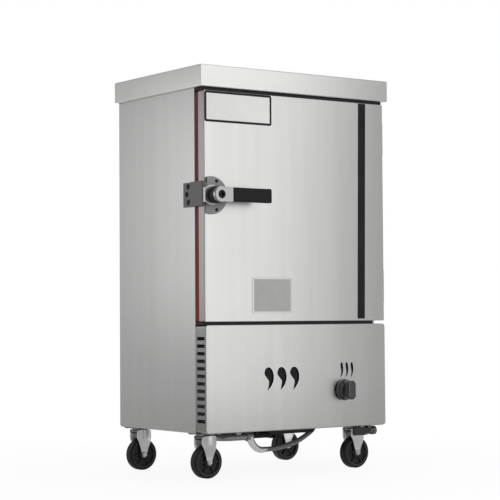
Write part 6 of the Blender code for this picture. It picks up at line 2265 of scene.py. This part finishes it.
    def leg(self, side: int) -> Mesh:
        """Leg with straight edges that spread from the axle up to the bowl, and round ends.

        Args:
            side: Side of the wheel that it is on, -1 or 1.

        Returns:
            The mesh.
        """
        low, high = self.axle_half, self.top_half
        rows = [(low * sqrt(1 - turn * turn), self.radius - low * turn) for turn in (0.97, 0.85, 0.6, 0.3)]
        steps = 8
        for i in range(steps + 1):
            height = self.radius + (self.shoulder - self.radius) * i / steps
            rows.append((low + (high - low) * i / steps, height))
        arch = high * 0.4
        for turn in (0.0, 0.4, 0.65, 0.85, 0.96):
            rows.append((high * (1 - turn**3) ** (1 / 3), self.leg_top - arch + arch * turn))
        return loft(Axis.Z, [(self.leg_section(side, half, height), height) for half, height in rows])

    def fork(self) -> None:
        """Bowl with the kingpin, both legs and the axle bolt."""
        height = self.head_height
        bottom = self.crown_bottom
        profile = [(self.crown - 0.001, bottom), (self.crown, bottom + 0.0006)]
        for i in range(1, 7):
            turn = QUARTER * i / 6
            profile.append((
                self.crown + (self.bowl - self.crown) * sin(turn),
                bottom + 0.0006 + height * 0.38 * (1 - cos(turn)),
            ))
        profile += [
            (self.bowl, bottom + height * 0.78), (self.bowl * 0.985, bottom + height * 0.84),
            (self.bowl * 0.93, bottom + height * 0.93), (self.bowl * 0.85, self.crown_top),
            (self.kingpin, self.crown_top), (self.kingpin, self.crown_top + self.race_height),
        ]
        self.put("fork_bowl", turned(Axis.Z, (0, 0), profile, 56), RACE_ZINC, "fork", True)
        outer = self.leg_inner + self.leg_sheet
        self.put("fork_legs", gathered([self.leg(-1), self.leg(1)]), FORK_ZINC, "fork")
        ends = []
        axis = (self.trail, self.radius)
        for side in (-1, 1):
            hexagon = circle(axis, self.axle_head, 6)
            nut = prism(Axis.Y, hexagon, side * (outer + 0.0008), side * (outer + 0.0048), 0.0006)
            profile = [(self.axle_head * 1.1, side * (outer + along)) for along in (-0.0006, 0.001)]
            ends += [nut, turned(Axis.Y, axis, profile, 28)]
        rod = turned(Axis.Y, axis, [(self.axle, -outer), (self.axle, outer)], 28)
        self.put("axle", gathered(ends + [rod]), BRIGHT_SCREW, "fork", smooth=32.0)

    def wheel(self) -> None:
        """Tread on a core with a lighter rim band that paints a highlight, and ribs between rim and hub."""
        half = self.width / 2
        bend = self.tread_round
        crown = []
        for i in range(7):
            turn = QUARTER * i / 6
            crown.append((self.tyre - bend * (1 - cos(turn)), half - bend + bend * sin(turn)))
        tread = [(self.tread, -half)] + [(radius, -along) for radius, along in reversed(crown)]
        tread += crown + [(self.tread, half)]
        self.put("tread", turned(Axis.Y, (0, 0), tread, self.sides, True), TREAD_RUBBER, "wheel", True)
        web = half - self.web_set
        hub_face = half + self.hub_proud
        core = []
        for way in (-1, 1):
            side = [
                (self.axle + GAP, hub_face), (self.hub - 0.001, hub_face), (self.hub, hub_face - 0.001),
                (self.hub + 0.001, web), (self.tread - 0.006, web), (self.tread - 0.005, half - 0.0005),
            ]
            side = [(radius, way * along) for radius, along in side]
            core += side if way < 0 else list(reversed(side))
        self.put("core", turned(Axis.Y, (0, 0), core, self.sides, True), CORE_PLASTIC, "wheel")
        # Painted highlight: lighter bands where the edge between tread and core catches the light.
        bands = []
        for way in (-1, 1):
            ring = [
                (self.tread - 0.005, way * (half - 0.004)), (self.tread - 0.005, way * half),
                (self.tread - 0.0045, way * (half + 0.0005)), (self.tread + 0.0005, way * (half + 0.0005)),
                (self.tread + 0.001, way * (half - 0.0005)), (self.tread + 0.0003, way * (half - 0.004)),
            ]
            bands.append(turned(Axis.Y, (0, 0), ring, self.sides, True))
        self.put("rim_bands", gathered(bands), RIM_HIGHLIGHT_PLASTIC, "wheel")
        near, far, thick = web - 0.001, half - 0.0005, self.spoke_half
        rib = gathered([
            block((self.hub - 0.002, start, -thick), (self.tread - 0.004, end, thick), 0.0008)
            for start, end in ((-far, -near), (near, far))
        ])
        mesh = self.repeated(Pattern.RING, rib, CORE_PLASTIC, Count=self.ribs, Axis=Axis.Y.value)
        self.put("ribs", mesh, CORE_PLASTIC, "wheel", smooth=32.0)


@dataclass(frozen=True)
class Lamp:
    """Soft rectangular lamp that shines from a place towards a point."""

    name: str
    place: Place
    aim: Place
    size: Point
    level: float

    def light(self) -> None:
        """Add the lamp, whose level is the brightness of its face."""
        data = bpy.data.lights.new(self.name, "AREA")
        data.shape = "RECTANGLE"
        data.size, data.size_y = self.size
        data.energy = self.level * pi * self.size[0] * self.size[1]
        lamp = scene_object(data, self.name)
        heading = (Vector(self.aim) - Vector(self.place)).to_track_quat("-Z", "Y")
        lamp.matrix_world = Matrix.Translation(self.place) @ heading.to_matrix().to_4x4()
        lamp.visible_camera = False


@dataclass
class Studio:
    """Camera at the photograph's place, pale floor, world and soft lamps."""

    eye: Place = (-3.1046, -4.3718, 0.4877)
    yaw: float = 35.312
    pitch: float = 2.258
    roll: float = -0.378
    lens: float = 120.42
    sensor: float = 36.0
    bright_way: Place = (0.58, 0.80, 0.15)
    stops: tuple[Point, ...] = ((0.0, 0.36), (0.55, 0.38), (0.70, 0.42), (0.88, 0.60), (0.95, 1.0))
    floor_half: float = 40.0
    floor_colour: Colour = (0.9, 0.9, 0.9)
    floor_roughness: float = 0.8
    floor_glow: float = 1.25
    floor_fade: Point = (0.5, 1.6)
    floor_share: float = 0.92
    lamps: tuple[Lamp, ...] = (
        Lamp("front_softbox", (0.375, -1.55, 1.05), (0.0, -0.24, 0.75), (1.28, 2.1), 0.97),
        Lamp("side_softbox", (-1.65, 1.05, 0.92), (-0.345, 0.1, 0.7), (0.92, 1.00), 1.17),
        Lamp("top_softbox", (0.0, -0.4, 2.9), (0.0, 0.0, 0.6), (2.0, 2.0), 0.9),
        Lamp("rear_softbox", (0.7, 2.0, 1.1), (0.0, 0.25, 0.7), (1.4, 1.8), 0.6),
        Lamp("right_softbox", (2.1, -0.3, 1.1), (0.345, 0.0, 0.7), (1.4, 1.8), 0.6),
    )

    def build(self) -> None:
        """Set the camera, the world, the floor and the lamps."""
        self.camera()
        self.world()
        self.floor()
        for lamp in self.lamps:
            lamp.light()
        bpy.context.scene.view_settings.view_transform = "Standard"

    def camera(self) -> None:
        """Camera with the fitted place, turn and lens."""
        yaw, pitch, roll = (radians(angle) for angle in (self.yaw, self.pitch, self.roll))
        ahead = Vector((sin(yaw) * cos(pitch), cos(yaw) * cos(pitch), sin(pitch)))
        right = Vector((cos(yaw), -sin(yaw), 0.0))
        up = right.cross(ahead)
        level = right * cos(roll) + up * sin(roll)
        upright = up * cos(roll) - right * sin(roll)
        turn = Matrix((level, upright, -ahead)).transposed().to_4x4()
        data = bpy.data.cameras.new("camera")
        data.lens = self.lens
        data.sensor_width = self.sensor
        data.clip_end = 200.0
        camera = scene_object(data, "camera")
        camera.matrix_world = Matrix.Translation(self.eye) @ turn
        bpy.context.scene.camera = camera

    def around(self, nodes: Nodes, way: Socket) -> Socket:
        """Brightness of the studio in a direction, which is white behind the object.

        Args:
            nodes: Tree that asks for it.
            way: Direction from the object.

        Returns:
            The brightness.
        """
        toward = nodes.add("ShaderNodeVectorMath", {0: way, 1: self.bright_way}, operation="DOT_PRODUCT")
        share = nodes.math("MULTIPLY", nodes.math("ADD", toward.outputs["Value"], 1.0), 0.5)
        ramp = nodes.add("ShaderNodeValToRGB", {0: share})
        while len(ramp.color_ramp.elements) < len(self.stops):
            ramp.color_ramp.elements.new(0.5)
        for element, (place, level) in zip(ramp.color_ramp.elements, self.stops):
            element.position = place
            element.color = (level, level, level, 1.0)
        seen = nodes.add("ShaderNodeLightPath").outputs["Is Camera Ray"]
        return nodes.math("MAXIMUM", ramp.outputs[0], seen)

    def world(self) -> None:
        """World that the camera sees white and that is greyer towards the front and the sides."""
        world = bpy.data.worlds.new("studio")
        world.use_nodes = True
        bpy.context.scene.world = world
        nodes = Nodes(world.node_tree)
        way = nodes.add("ShaderNodeTexCoord").outputs["Generated"]
        background = world.node_tree.nodes["Background"]
        nodes.feed(background.inputs["Strength"], self.around(nodes, way))
        background.inputs["Color"].default_value = (1.0, 1.0, 1.0, 1.0)

    def floor(self) -> None:
        """Plain pale floor that keeps the shadow and fades to white further off."""
        half = self.floor_half
        mesh = bpy.data.meshes.new("floor")
        corners = [(-half, -half, 0.0), (half, -half, 0.0), (half, half, 0.0), (-half, half, 0.0)]
        mesh.from_pydata(corners, [], [(0, 1, 2, 3)])
        floor = scene_object(mesh, "floor")
        nodes = Recipe("pale_floor", {})
        nodes.shader.inputs["Base Color"].default_value = (*self.floor_colour, 1.0)
        nodes.shader.inputs["Roughness"].default_value = self.floor_roughness
        place = nodes.add("ShaderNodeTexCoord").outputs["Object"]
        way = nodes.add("ShaderNodeVectorMath", {0: place}, operation="NORMALIZE").outputs[0]
        bounce = nodes.math("MULTIPLY", self.around(nodes, way), self.floor_glow)
        bounce = nodes.math("MINIMUM", bounce, 1.0)
        glow = nodes.add("ShaderNodeEmission", {"Strength": bounce})
        path = nodes.add("ShaderNodeLightPath").outputs
        seen = nodes.math("MAXIMUM", path["Is Camera Ray"], path["Is Glossy Ray"])
        seen = nodes.math("MAXIMUM", seen, path["Is Transmission Ray"])
        reach = nodes.add("ShaderNodeVectorMath", {0: place}, operation="LENGTH").outputs["Value"]
        near, far = self.floor_fade
        share = nodes.add("ShaderNodeMapRange", {
            "Value": reach, "From Min": near, "From Max": far, "To Min": self.floor_share, "To Max": 1.0,
        }).outputs[0]
        mix = nodes.add("ShaderNodeMixShader", {
            0: nodes.math("MULTIPLY", seen, share), 1: nodes.shader.outputs[0], 2: glow.outputs[0],
        })
        nodes.feed(nodes.tree.nodes["Material Output"].inputs["Surface"], mix.outputs[0])
        floor.data.materials.append(nodes.material)


def main() -> None:
    """Load the frame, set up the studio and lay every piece."""
    logging.basicConfig(level=logging.INFO, format="%(name)s: %(message)s")
    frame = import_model()
    Studio().build()
    bench = Bench(frame["nodes"])
    kinds = (TopCover, Body, Chamber, Door, Latch, Keeper, LowerPanel, GasControl)
    kinds += (GasLine, Burner, Drain, Hinges, BackFittings)
    parts = [kind(bench) for kind in kinds]
    for name, x, y in (
        ("front_left", -0.299, -0.1717), ("front_right", 0.271, -0.1717),
        ("rear_left", -0.299, 0.200), ("rear_right", 0.271, 0.200),
    ):
        parts.append(Caster(bench, name, x, y))
    for part in parts:
        part.build()


if __name__ == "__main__":
    main()
